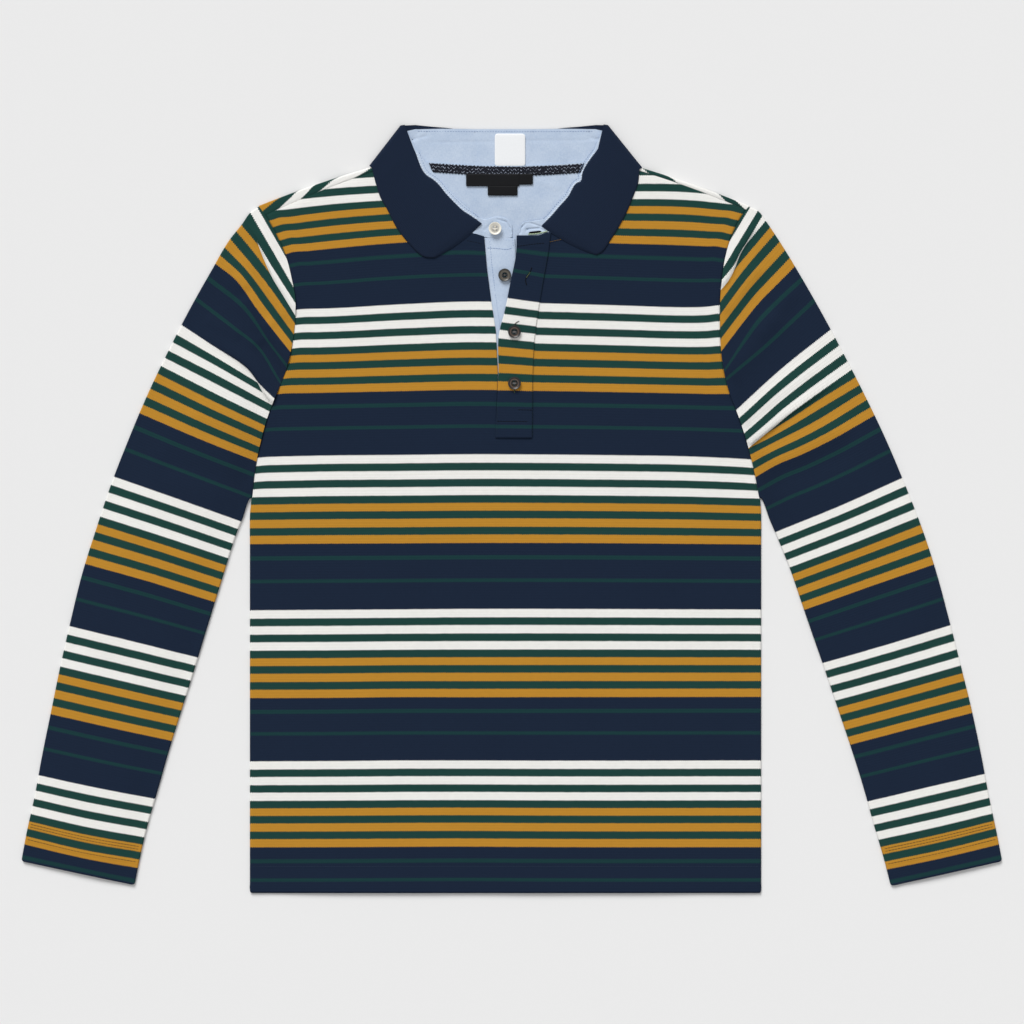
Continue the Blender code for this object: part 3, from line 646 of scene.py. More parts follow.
@dataclass(frozen=True)
class Resin:
    """Cast resin of a button, with rings round its middle.

    Attributes:
        name: Name of the finish.
        rings: Radius at which each ring starts, and its screen colour.
        reach: Radius at the end of the ramp.
    """

    name: str
    rings: tuple[tuple[float, tuple[int, int, int]], ...]
    reach: float = 7.0

    def material(self) -> Material:
        """Return the finish."""
        web = Web(self.name)
        across, down = web.map("cloth")
        place = web.join(across, down)
        cloud, grain = web.noise(place, 0.35, 3.0, 0.6), web.noise(place, 1.6, 2.0)
        radius = (across * across + down * down).maths("SQRT") + cloud * 0.5 - 0.25
        stops = [(start / self.reach, srgb(*colour)) for start, colour in self.rings]
        rings = web.node("ShaderNodeValToRGB", {"stops": stops}, {0: radius / self.reach})
        return web.dress(Base_Color=web.shade(rings, 0.8 + cloud * 0.4), Roughness=0.36 + grain * 0.12,
                         Coat_Weight=0.12, Coat_Roughness=0.2, Normal=web.bump(grain * 0.05, 0.3))


@dataclass(frozen=True)
class Thread:
    """Sewing thread in one screen colour, with a ply so many times a metre."""

    name: str
    colour: tuple[int, int, int]
    plies: float = 2500.0

    def material(self) -> Material:
        """Return the finish."""
        web = Web(self.name)
        ply = web.noise(web.node("ShaderNodeTexCoord", None, None, "Object"), self.plies, 2.0)
        return web.dress(Base_Color=web.shade(srgb(*self.colour), 0.75 + ply * 0.5), Roughness=0.8,
                         Sheen_Weight=0.03, Specular_IOR_Level=0.1, Normal=web.bump(ply * 0.1, 0.4))


# ---------------------------------------------------------------- how the pieces are kept
class Side(Enum):
    """The wearer's side, and its sign on x."""

    RIGHT = -1
    LEFT = 1

    @property
    def column(self) -> int:
        """Return the side's place in tables with both sides: 0 for the right, 1 for the left."""
        return (self.value + 1) // 2


def kept(item: Object, slot: str, *nodes: str) -> Object:
    """Let a piece move with the body and stand for CAD nodes."""
    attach(item, "root")
    if nodes:
        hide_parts(*nodes)
    LOG.info("%s: %d faces", item.name, len(item.data.polygons))
    return item


# ---------------------------------------------------------------- the body
ARMHOLE = ((386, 248.4, 248.8), (410, 246, 244.2), (440, 240, 236.6), (470, 231.5, 226.8),
           (490, 223.4, 219.2), (515, 214, 213.2), (540, 208.4, 210.6), (560, 206.2, 210.2),
           (580, 205.8, 210.4), (600, 209.3, 212), (620, 214.2, 214.9), (645, 224.9, 222.4),
           (662, 234.5, 231), (672, 241.5, 238.2))
SIDE_SEAM = ((0, 248), (0.8, 249.4),
             *((height, HALF_BODY) for height in (2.4, 9, 26, 90, 155, 220, 285, 340, 368)))
FRONT_EDGE = ((-9, 392, -9, 392), (-9, 424, -9, 424), (-9, 458, -9, 458),
              (-7.3, 507, -2, 507), (-9.3, 549, 0.5, 549), (-13.7, 578, 6, 578),
              (-18.1, 611, 12, 611), (-20.8, 642, 15, 642.3), (-34, 646.2, 38.7, 645.4),
              (-62, 650.6, 61.2, 652.6), (-83.7, 665.3, 82.7, 665.3), (-98, 686, 97, 686))
BACK_EDGE = (*((0, height) for height in (400, 446, 492, 536, 576, 612, 644, 676, 706)),
             (24, 706.4), (50, 707.4), (76, 709.6), (96, 712.4), (109.5, 715.6))
NECK_POINT = BACK_EDGE[-1]
SLIT_LINE = -9.0            # x of the closed front below the slit
SLIT_FOOT = 458.0
CUFF_ROWS = (644.4, 647.1, 659.8)   # where the cuff's stitches run, in the stripes' own coordinate


def armhole_at(side: Side, height: Array) -> Array:
    """Return the x of the armhole seam at some heights."""
    curve = drawn_out([(row[1 + side.column], row[0]) for row in ARMHOLE], 2.0, 1)
    return side.value * np.interp(height, curve[:, 1], curve[:, 0])


def armhole_distance(side: Side, x: Array, y: Array) -> Array:
    """Return the distance of points from the armhole seam."""
    heights = np.linspace(ARM_FOOT, ARM_TOP, 60)
    return np.abs(offset_from(list(zip(armhole_at(side, heights), heights)), x, y)[0])


def seam_distance(side: Side, x: Array, y: Array) -> Array:
    """Return the distance of points in from the side seam, or from the armhole seam above it."""
    return np.where(y < ARM_FOOT, HALF_BODY - np.abs(x), armhole_distance(side, x, y))


def both_faces(x: Array, y: Array, z: Array) -> list[Array]:
    """Return two rows of stitches, on the upper face of a turned edge and on the underside."""
    return [grid(x, y, z - SUNK), grid(x, y, SUNK)]


@dataclass
class Body:
    """The front and the back panel, sewn along the sides and over the shoulders.

    Attributes:
        spacing: Size of the front's cells.
        back_spacing: Size of the back's cells.
        strip: Width of the back's forward strip at the neck and the armhole, right and left.
        shift: How far the strip's stripes are on in the repeat, at some x from the centre line.
        hang: How far the front's stripes hang at the armhole seam, at some heights, and its reach.
        bulge: How far the shoulder's outline bows out.
        inward: Way from the shoulder's outline to the inside, at the armhole and at the neck.
        hem_rows: Heights of the two rows of hem stitches.
    """

    spacing: float = 3.4
    back_spacing: float = 5.0
    strip: dict = field(default_factory=lambda: {Side.RIGHT: (3.2, 11.0), Side.LEFT: (3.2, 4.6)})
    shift: dict = field(default_factory=lambda: {
        Side.RIGHT: ((150.0, 174.0, 189.0, 204.0, 222.0), (12.0, 12.0, 14.2, 17.8, 20.5)),
        Side.LEFT: ((110.0, 141.0, 170.0, 205.0, 225.0, 236.0), (0.0, 1.5, 0.5, -5.5, -2.5, -1.5))})
    hang: dict = field(default_factory=lambda: {
        Side.RIGHT: ((386.0, 400.0, 672.0), (0.0, 0.8, 0.8), 6.0),
        Side.LEFT: ((386.0, 400.0, 575.0, 610.0, 650.0), (0.0, 0.6, -1.5, 0.2, 1.5), 11.0)})
    bulge: float = 2.4
    inward: tuple = ((0.58, 0.815), (0.42, 0.91))
    hem_rows: tuple = (20.5, 26.3)

    def shoulder(self, side: Side, share: Array, inset: Array) -> tuple[Array, Array]:
        """Return points in from the shoulder's outline, from the armhole at 0 to the neck at 1."""
        start = (side.value * ARMHOLE[-1][1 + side.column], ARM_TOP)
        end = (side.value * NECK_POINT[0], NECK_POINT[1])
        across, down = (seam + (neck - seam) * share for seam, neck in zip(*self.inward))
        x = start[0] + (end[0] - start[0]) * share - side.value * across * inset
        y = start[1] + (end[1] - start[1]) * share + self.bulge * 4.0 * share * (1.0 - share)
        return x, y - down * inset

    def forward_inset(self, side: Side, share: Array) -> Array:
        """Return how far in the forward shoulder seam lies."""
        neck, armhole = self.strip[side]
        return armhole + (neck - armhole) * share

    def edge_pairs(self, side: Side, edge: Table, middle: float) -> list[tuple[float, ...]]:
        """Return outer and inner points of the rows from the hem upwards."""
        rows = [(side.value * x, y, middle, y) for y, x in SIDE_SEAM]
        for armhole, (x, y) in zip(ARMHOLE, edge):
            rows.append((side.value * armhole[1 + side.column], armhole[0], x, y))
        return rows

    def dropped(self, side: Side, x: Array, y: Array, slit: Array) -> Array:
        """Return how far the front falls away at its seams, slit and hem, and its low waves."""
        seam = seam_distance(side, x, y)
        fall = edge_drop(np.maximum(seam, 0.0), 2.2, 1.15 + 0.45 * smooth((y - ARM_FOOT) / 20.0))
        fall += edge_drop(slit, 0.9, 0.45) * smooth((y - SLIT_FOOT) / 5.0) + edge_drop(y, 1.6, 0.9)
        for height in self.hem_rows:
            fall += 0.28 * bell(y - height, 1.3)
        waves = 0.16 * np.sin(x / 31.0 + 0.6 * np.sin(y / 57.0)) * np.sin(y / 43.0 + 1.1)
        waves += 0.10 * np.sin(x / 17.0 + y / 29.0)
        return fall - waves * smooth(seam / 25.0)

    def front(self, finish: Material) -> Object:
        """Build the front panel."""
        edges = [(side, [row[2 * side.column:][:2] for row in FRONT_EDGE]) for side in Side]
        tables = [np.array(self.edge_pairs(side, edge, SLIT_LINE)) for side, edge in edges]
        both = drawn_out(np.hstack(tables), self.spacing, 4)
        part = shares(HALF_BODY, self.spacing)
        steps = np.linspace(0.0, 1.0, 10)[1:, None]
        patches = []
        for side, table in zip(Side, tables):
            rows = both[:, 4 * side.column:][:, :4].copy()
            rows[:, 2] = np.interp(rows[:, 3], tables[0][:, 3], table[:, 2])
            top = self.shoulder(side, part, self.forward_inset(side, part) + 0.1)
            x, y = (np.vstack([made, made[-1] + (end - made[-1]) * steps])
                    for made, end in zip(between(rows, part), top))
            z = front_top(x, y) - self.dropped(side, x, y, np.abs(x - x[:, -1:]))
            z -= edge_drop(np.hypot(x - x[-1], y - y[-1]), 1.6, 0.5)
            patches.append(Patch(grid(x, y, z), x, self.front_cloth(side, x, y), flip=side is Side.LEFT))
        return cloth("front_panel", patches, JERSEY, finish)

    def front_cloth(self, side: Side, x: Array, y: Array) -> Array:
        """Return the cloth coordinate of the front, whose stripes hang a little at the armhole seam."""
        seam = armhole_distance(side, x, y)
        heights, depths, reach = self.hang[side]
        hang = np.interp(y, heights, depths) * bell(seam, reach)
        hang -= 0.8 * bell(seam - 11.0, 6.0) * smooth((y - 590.0) / 20.0)
        neck = 12.5 * smooth((y - 630.0) / 20.0) * bell(x - 6.0, 66.0, 4)
        neck += 1.2 * smooth((y - 610.0) / 16.0) * bell(x + 52.0, 24.0, 4)
        return BODY_STRIPES.at(x, y) - hang + neck + 3.4 * smooth((26.0 - y) / 12.0)

    def back(self, finish: Material) -> Object:
        """Build the back panel with the strip that comes forward over each shoulder."""
        part = shares(HALF_BODY, self.back_spacing)
        patches = []
        for side in Side:
            edge = [(side.value * x, y) for x, y in BACK_EDGE]
            x, y = between(drawn_out(self.edge_pairs(side, edge, 0.0), self.back_spacing)[:-1], part)
            z = back_lift(x, y) + edge_drop(np.maximum(seam_distance(side, x, y), 0.0), 1.4, 0.45)
            layers = [(x, y, z + edge_drop(y, 1.4, 0.5), y)]
            inset = self.forward_inset(side, part)
            outline = self.shoulder(side, part, 0.0 * part)
            low = back_lift(*outline)
            radius = 0.5 * (front_top(*self.shoulder(side, part, inset)) - low)
            for angle in HALF_TURN:
                x, y = self.shoulder(side, part, radius * (1.0 - math.sin(angle)))
                z = low + radius * (1.0 - math.cos(angle))
                layers.append((x, y, z, outline[1] + radius * (angle - 1.5)))
            for share in (0.3, 0.6, 0.85, 1.0):
                reach = radius + (inset - radius) * share
                x, y = self.shoulder(side, part, reach)
                z = front_top(x, y) - edge_drop(np.maximum(inset - reach, 0.0), 1.4, 0.4)
                layers.append((x, y, z, outline[1] + reach + 0.6))
            x, y, z, cloth_y = map(np.vstack, zip(*layers))
            shift = np.interp(np.abs(x), *self.shift[side]) * smooth((cloth_y - 600.0) / 80.0)
            down = BODY_STRIPES.at(x, cloth_y) + shift
            patches.append(Patch(grid(x, y, z), x, down, flip=side is Side.RIGHT))
        return cloth("back_panel", patches, JERSEY, finish)

    def stitches(self) -> list[Array]:
        """Return the hem's rows of stitches, in front and behind."""
        x, far = np.linspace(3.0 - HALF_BODY, HALF_BODY - 3.0, 200), np.full(200, 99.0)
        lines = []
        for height in self.hem_rows:
            y = np.full_like(x, height)
            lines += both_faces(x, y, front_top(x, y) - self.dropped(Side.RIGHT, x, y, far))
        return lines


# ---------------------------------------------------------------- the sleeves
@dataclass(frozen=True)
class Crease:
    """A soft ridge or trough: its two ends, its rise and its half width."""

    from_x: float
    from_y: float
    to_x: float
    to_y: float
    rise: float
    reach: float

    def at(self, x: Array, y: Array) -> Array:
        """Return the height that it adds at some points."""
        dx, dy = self.to_x - self.from_x, self.to_y - self.from_y
        length = math.hypot(dx, dy)
        share = ((x - self.from_x) * dx + (y - self.from_y) * dy) / length**2
        away = np.abs(dx * (y - self.from_y) - dy * (x - self.from_x)) / length
        ends = smooth(4.0 * share + 0.8) * smooth(4.0 * (1.0 - share) + 0.8)
        return self.rise * ends * bell(away, self.reach)


def creased(*rows: Sequence[float]) -> tuple[Crease, ...]:
    """Return a crease for each row: x, y, x, y, rise and half width."""
    return tuple(Crease(*row) for row in rows)


@dataclass(frozen=True)
class Tuck:
    """A place where the cloth folds under itself along a line.

    Attributes:
        line: The edge of the fold.
        rise: Height of the side above the line over the other, 0 where the cloth only shifts.
        reach: How far the upper side stays raised.
        fades: Distance of each end of the line over which the fold dies away.
    """

    line: Points
    rise: float = 0.0
    reach: float = 16.0
    fades: tuple[float, float] = (1.0, 1.0)

    def offset(self, x: Array, y: Array) -> tuple[Array, Array, Array]:
        """Measure points from the smooth edge of the fold."""
        return offset_from(drawn_out(self.line, 6.0, 1), x, y)

    def at(self, x: Array, y: Array) -> Array:
        """Return the height that the fold adds at some points."""
        if not self.rise:
            return np.zeros_like(x)
        distance, near_x, near_y = self.offset(x, y)
        (start_x, start_y), end = self.line[0], self.line[-1]
        total = math.dist(self.line[0], end)
        along = ((near_x - start_x) * (end[0] - start_x) + (near_y - start_y) * (end[1] - start_y)) / total
        fade = smooth((along + 2.0) / self.fades[0]) * smooth((total - along + 2.0) / self.fades[1])
        raised = 1.0 - smooth(-distance / self.reach)
        sunk = -0.4 * (1.0 - smooth(distance / (0.6 * self.reach)))
        lift = np.where(distance < 0.0, raised, sunk) * smooth(np.abs(distance) / 1.5)
        return self.rise * fade * lift


@dataclass
class Sleeve:
    """A sleeve: a flattened tube from the cuff to the armhole.

    Attributes:
        side: The wearer's side.
        sections: Outer edge x, y, inner edge x, y, bend to the armhole and rise, from the cuff.
        fields: Stripes of each stretch of the cloth, from the shoulder to the cuff.
        tucks: Folds between those stretches.
        creases: Soft ridges and troughs.
        spacing: Size of the cells.
        corner: Radius of the cuff's two corners.
        pull: How far from a tuck the rows of cells are drawn in to it.
        near: How far from a tuck its two stretches of cloth are told apart by the finish.
    """

    side: Side
    sections: Table
    fields: tuple[Stripes, ...]
    tucks: tuple[Tuck, ...]
    creases: tuple[Crease, ...]
    spacing: float = 3.0
    corner: float = 2.8
    pull: float = 9.0
    near: float = 10.0

    def __post_init__(self) -> None:
        """Name the sleeve and close its head on the armhole."""
        self.name = f"sleeve_{self.side.name.lower()}"
        top, foot = (abs(float(armhole_at(self.side, end))) for end in (ARM_TOP, ARM_FOOT))
        last = (top - 0.5, ARM_TOP - 0.4, foot - 0.5, ARM_FOOT + 0.4, 1.0, 0.2)
        rows = drawn_out([*self.sections, last], self.spacing)
        first = rows[0] + (rows[1] - rows[0]) * np.array([[0.0], [0.1], [0.3], [0.6]])
        away = np.maximum(self.corner - np.hypot(*(first[:, :2] - first[0, :2]).T), 0.0)
        across = (rows[0, 2:4] - rows[0, :2]) / math.dist(rows[0, :2], rows[0, 2:4])
        inset = (self.corner - np.sqrt(self.corner**2 - away**2))[:, None] * across
        first[:, :4] += np.hstack([inset, -inset])
        self.rows = np.vstack([first, rows[1:]])

    def plan(self, share: Array) -> tuple[Array, Array]:
        """Return points of the rows at a share of the way from the outer to the inner edge."""
        top, foot = armhole_at(self.side, ARM_TOP), armhole_at(self.side, ARM_FOOT)
        seam = armhole_at(self.side, ARM_TOP + (ARM_FOOT - ARM_TOP) * share)
        bow = (seam - (top + (foot - top) * share)) * self.side.value
        x, y = between(self.rows, share)
        return (x + bow * self.rows[:, 4:5]) * self.side.value, y

    def pulled(self, x: Array, y: Array) -> tuple[Array, Array]:
        """Draw points in to the tucks, so that a row of cells ends close to each fold."""
        for tuck in self.tucks:
            distance, near_x, near_y = tuck.offset(x, y)
            share = np.clip(np.abs(distance) / self.pull, 0.0, 1.0)
            ratio = np.where(share < 1.0, share**1.6, 1.0)
            ratio = 1.0 + (ratio - 1.0) * smooth(armhole_distance(self.side, x, y) / 8.0)
            x, y = near_x + (x - near_x) * ratio, near_y + (y - near_y) * ratio
        return x, y

    def surface(self, share: Array, x: Array, y: Array, lower: bool) -> Array:
        """Return the height of the upper layer, or the lift of the lower one."""
        share = np.broadcast_to(share, x.shape)
        rise = self.rows[:, 5:6] * smooth(share / 0.3) * smooth((1.0 - share) / 0.3)
        edge = smooth(share / 0.06) * smooth((1.0 - share) / 0.06)
        relief = sum(form.at(x, y) for form in (*self.tucks, *self.creases))
        waves = 0.22 * np.sin(x / 23.0 + y / 37.0) + 0.16 * np.sin(x / 13.0 - y / 51.0 + 1.3)
        seam = armhole_distance(self.side, x, y)
        cuff = run_of(np.hstack(self.plan(np.array([0.5]))))[:, None]
        fall = edge_drop(seam, 1.5, 0.5) + edge_drop(cuff, 1.4, 0.6) - 0.8 * bell(seam, 8.0) * edge
        if lower:
            return (0.25 * np.maximum(relief, 0.0) * smooth(seam / 20.0) + 0.4 * np.maximum(fall, 0.0)) * edge
        height = FOLD_HEIGHT + rise + edge * (relief + waves * smooth(seam / 30.0)) - fall
        return np.maximum(height, np.minimum(2.0 * JERSEY + 0.1, FOLD_HEIGHT - fall))

    def coordinates(self, x: Array, y: Array) -> tuple[Array, Array, Array]:
        """Return the cloth coordinate above and below the nearest tuck, and the distance from it."""
        away = np.array([tuck.offset(x, y)[0] for tuck in self.tucks])
        values = np.array([stripes.at(x, y) for stripes in self.fields])
        nearest = np.abs(away).argmin(0)
        distance = taken(away, nearest)
        here = taken(values, (away > 0.0).sum(0))
        close = np.abs(distance) < self.near
        above, below = (np.where(close, taken(values, nearest + side), here) for side in (0, 1))
        return above, below, distance

    def build(self, finish: Material) -> Object:
        """Build the sleeve."""
        upper = shares(math.dist(self.rows[-1][:2], self.rows[-1][2:4]), self.spacing)
        widths = np.hypot(*(self.rows[:, :2] - self.rows[:, 2:4]).T)[:, None]
        inset = 0.5 * FOLD_HEIGHT / widths
        ring = []
        for share, lower in ((upper, False), (np.linspace(1.0, 0.0, len(upper) // 2), True)):
            inner = inset + share * (1.0 - 2.0 * inset)
            x, y = self.plan(inner)
            if not lower:
                x, y = self.pulled(x, y)
            ring.append((x, y, self.surface(share, x, y, lower), inner * widths))
        turn = math.pi * np.array([0.2, 0.4, 0.6, 0.8])
        top, low = ring[0][2], ring[1][2]
        for end, angles in ((1, turn), (0, turn[::-1])):
            share = end + (2 * end - 1) * inset * (np.sin(angles) - 1.0)
            high, base = top[:, -end, None], low[:, end - 1, None]
            z = 0.5 * (high + base) + 0.5 * (high - base) * np.cos(angles)
            ring.append((*self.plan(share), z, share * widths))
        x, y, z, across = (np.hstack([ring[part][k] for part in (0, 2, 1, 3)]) for k in range(4))
        above, below, distance = self.coordinates(x, y)
        patch = Patch(grid(x, y, z), across, above, distance, below, True, self.side is Side.LEFT)
        return cloth(f"{self.name}_tube", [patch], JERSEY, finish)

    def stitches(self) -> list[Array]:
        """Return the turned cuff's rows of stitches, on both layers."""
        share = np.linspace(0.02, 0.98, 60)
        x, y = self.plan(share)
        z = self.surface(share, x, y, False)
        stripe, lines = self.fields[2].at(x, y)[::-1], []
        for at in CUFF_ROWS:
            row = (np.array([np.interp(at, *pair) for pair in zip(stripe.T, layer[::-1].T)])
                   for layer in (x, y, z))
            lines += both_faces(*row)
        return lines


SLEEVE_RIGHT = Sleeve(
    Side.RIGHT,
    ((473.6, 31.2, 362.8, 7.7, 0.00, 0.5), (468.8, 57, 358, 32, 0.00, 1),
     (460.4, 95.8, 349.8, 67.4, 0.00, 1.5), (453.2, 134.9, 339.5, 102.6, 0.00, 1.6),
     (444.2, 179, 328.3, 141.8, 0.00, 1.3), (435.2, 223, 316.1, 180.9, 0.00, 1.7),
     (425.2, 267, 303.8, 220.1, 0.00, 1.9), (414.4, 311.1, 293.1, 255.3, 0.00, 1.5),
     (400.7, 355.1, 283.5, 286.6, 0.02, 1.8), (386, 399.1, 275, 314, 0.05, 2),
     (368.9, 443.2, 268.1, 336.5, 0.10, 1.8), (350.3, 487.2, 262.2, 354.1, 0.19, 1.7),
     (329.3, 531.2, 256.9, 366.8, 0.32, 1.6), (309.2, 570.4, 254.2, 375.6, 0.48, 1.4),
     (287.2, 609.5, 252.2, 381.5, 0.68, 1), (269.9, 638.9, 250.6, 385, 0.85, 0.6),
     (257.2, 655, 250.2, 385.3, 0.92, 0.5), (249.8, 665.4, 249.6, 385.8, 0.97, 0.3)),
    (Stripes(((23.5, ((-249, 665.8), (-209.5, 597.1))),
              (31.3, ((-256.5, 656), (-244.3, 638.8), (-229.5, 614.6), (-207, 579.7))))),
     Stripes(((54.3, ((-262.7, 647.1), (-249, 631), (-230.7, 607.1), (-206, 573.3))),
              (62.1, ((-268.1, 638.3), (-248, 614.4), (-229.5, 590.9), (-206, 557.1))),
              (85.6, ((-276.4, 610.6), (-266.8, 603.3), (-241.9, 569.7), (-209.9, 529.3))),
              (97.9, ((-287.2, 600.7), (-254.4, 574.3), (-229.5, 537.1), (-213.8, 517.5))),
              (119.9, ((-298.9, 580.2), (-263.2, 552.8), (-242.2, 536.1), (-220.7, 501.9))),
              (148.7, ((-312.6, 552.8), (-281.5, 532.4), (-263.7, 521.4), (-252, 512.6), (-242.2, 499.9),
                       (-224.3, 482.6))))),
     Stripes(((148.7, ((-312.6, 552.8), (-281.5, 532.4), (-263.7, 521.4), (-238.3, 507.7))),
              (156.6, ((-317, 543.9), (-274.6, 519.2), (-243, 499.7))),
              (172.2, ((-324.4, 528.3), (-274.5, 502.9), (-229.9, 478.6))),
              (187.9, ((-332.2, 513.6), (-274.5, 484.3), (-232.8, 464))),
              (234.4, ((-350.4, 466.5), (-295.9, 443.1), (-249, 424.6))),
              (297.5, ((-375.3, 404.5), (-320.2, 385.3), (-265.9, 365.9))),
              (383.1, ((-403.2, 320.2), (-347.2, 304.6), (-291.6, 287.2))),
              (446.2, ((-419.1, 259.3), (-363.8, 246), (-308.3, 232.1))),
              (531.8, ((-437.9, 173.8), (-385.8, 162.1), (-333.3, 150.7))),
              (594.9, ((-450, 113.8), (-400, 103.1), (-349.5, 93.4))),
              (657.1, ((-462.4, 54.1), (-413.8, 42.6), (-364.6, 33.9))))),
     Stripes(((672.7, ((-462.4, 54.1), (-413.8, 42.6), (-364.6, 33.9))),
              (680.5, ((-463.8, 46.4), (-415.3, 34.8), (-366.2, 25.9))),
              (692.7, ((-472.4, 37), (-417, 25.2), (-361.6, 13.5))),
              (698.6, ((-473.6, 31.2), (-418.2, 19.5), (-362.8, 7.7)))))),
    (Tuck(((-255.9, 657.5), (-244.1, 639.8), (-238.3, 624.6), (-228.2, 602.1), (-216.9, 583.4),
           (-205.5, 564.7)), 2, 18, (30, 6)),
     Tuck(((-312.6, 552.8), (-281.5, 532.4), (-261.7, 520), (-252, 511.9), (-242.2, 498.9), (-237.3, 489.2),
           (-226.5, 475.9)), 2.4, 20, (85, 6)),
     Tuck(((-464.3, 50.3), (-414.4, 38.7), (-365.5, 29.8)))),
    creased(
        (-241, 549, -217, 498, -0.9, 6), (-232, 556, -212, 520, 1.5, 8), (-300, 470, -240, 450, 1.1, 14),
        (-330, 420, -262, 400, -0.8, 12), (-262, 600, -228, 560, 1, 10), (-248, 618, -214, 566, 1.6, 6),
        (-268, 616, -252, 594, 1.2, 7), (-256, 578, -240, 540, 1.4, 8), (-290, 560, -262, 546, 0.7, 7),
        (-375, 372, -318, 322, 0.7, 13), (-422, 245, -372, 214, -0.5, 12)))
SLEEVE_LEFT = Sleeve(
    Side.LEFT,
    ((485.8, 31.2, 376.9, 6.8, 0.00, 0.5), (480.8, 57, 370.6, 31.6, 0.00, 1),
     (472.6, 95.8, 360.1, 67.4, 0.00, 1.4), (465.3, 134.9, 350.3, 102.6, 0.00, 1.6),
     (456, 179, 338.1, 141.8, 0.00, 1.4), (445.2, 223, 324.9, 180.9, 0.00, 1.6),
     (434, 267, 311.7, 220.1, 0.00, 1.9), (422.2, 311.1, 299.4, 255.3, 0.00, 1.6),
     (408, 355.1, 288.7, 286.6, 0.02, 1.7), (390.9, 399.1, 279.4, 314, 0.05, 2),
     (372.3, 443.2, 270.6, 336.5, 0.10, 1.9), (351.3, 487.2, 263.2, 354.1, 0.19, 1.8),
     (328.8, 531.2, 257.8, 366.8, 0.32, 1.6), (307.7, 570.4, 254.8, 375.6, 0.48, 1.3),
     (285.2, 609.5, 252.6, 381.5, 0.68, 1), (267.1, 638.9, 251, 385, 0.85, 0.6),
     (254.6, 657.4, 250.8, 385.4, 0.93, 0.5), (247, 667.2, 250.3, 385.8, 0.97, 0.3)),
    (Stripes(((23.5, ((214.5, 614.8), (230.4, 640.8), (246.5, 667.5))),
              (31.3, ((212.2, 601), (224, 615), (228.5, 624.6), (239.7, 642.5), (251, 662.5))))),
     Stripes(((46.5, ((210.9, 593.9), (226.2, 613.1), (240.9, 630.4), (258.8, 651.9))),
              (54.3, ((210.6, 579.4), (229.7, 605.8), (245.4, 624.9), (263.3, 645.1))),
              (85.6, ((211.6, 531.6), (235.2, 562), (249.9, 580), (262.2, 592.3), (283, 613.4))),
              (97.9, ((215.8, 513.6), (233, 541.5), (244.2, 558.3), (264.5, 579.7), (289.1, 602.2))),
              (119.9, ((228.5, 515.6), (253.2, 535.8), (275.7, 557.2), (301.6, 581.9))),
              (148.7, ((225.3, 471.9), (268.6, 511.7), (318.4, 551.3))),
              (187.9, ((238.8, 436.2), (258.6, 452.5), (276.4, 467.8), (300.8, 485.7), (336.5, 510.9))))),
     Stripes(((195.2, ((241.2, 441.2), (258.6, 452), (276.4, 462.9), (300.8, 479.2), (341.8, 504.8))),
              (203, ((238.3, 435.8), (258.6, 445.9), (276.4, 455.7), (300.8, 470.3), (345.4, 496.7))),
              (210.9, ((239.9, 428.9), (258.6, 438.7), (300.8, 460.1), (346.9, 488.6))),
              (234.4, ((245.6, 407.8), (265.1, 419.2), (288.7, 428.9), (317, 442.7), (353.5, 463.4))),
              (297.5, ((271.2, 355.8), (326.2, 378.2), (380.6, 402.5))),
              (383.1, ((299.5, 279.9), (355.3, 299.8), (411.2, 319.1))),
              (446.2, ((317.6, 227), (373, 243), (427.8, 259.7))),
              (531.8, ((344.1, 147.3), (396.8, 161.3), (449.3, 174.8))),
              (594.9, ((360.9, 91.2), (411.4, 103.3), (461.9, 114.9))),
              (657.1, ((377.5, 32), (426.1, 42.4), (474.5, 54.2))))),
     Stripes(((672.7, ((377.5, 32), (426.1, 42.4), (474.5, 54.2))),
              (680.5, ((379.4, 24.7), (427.8, 34.7), (476, 46.3))),
              (692.7, ((375.6, 12.6), (430.1, 24.8), (484.5, 37))),
              (698.6, ((376.9, 6.8), (431.4, 19), (485.8, 31.2)))))),
    (Tuck(((211.1, 590.3), (217.3, 597.6), (222.9, 607.7), (226.9, 618.2), (230.3, 626.2), (235.2, 634.2),
           (239.8, 640.8), (254.3, 658.2)),
          2, 18, (6, 30)),
     Tuck(((238.8, 436.2), (258.6, 452.3), (276.4, 465.7), (300.8, 482.3), (325.4, 498.9), (338.1, 507.3)),
          2.4, 20, (6, 60)),
     Tuck(((378.2, 28.3), (427.1, 38.6), (475.1, 50.3)))),
    creased(
        (262, 560, 222, 510, 1.3, 12), (300, 512, 232, 462, 1.4, 9), (330, 430, 262, 400, -0.9, 11),
        (330, 455, 262, 424, 1.2, 10), (246, 610, 216, 572, 1.5, 7), (264, 612, 238, 576, -0.6, 7),
        (282, 590, 250, 548, 1.2, 9), (388, 372, 330, 330, 0.7, 13), (440, 250, 384, 226, -0.5, 12)))


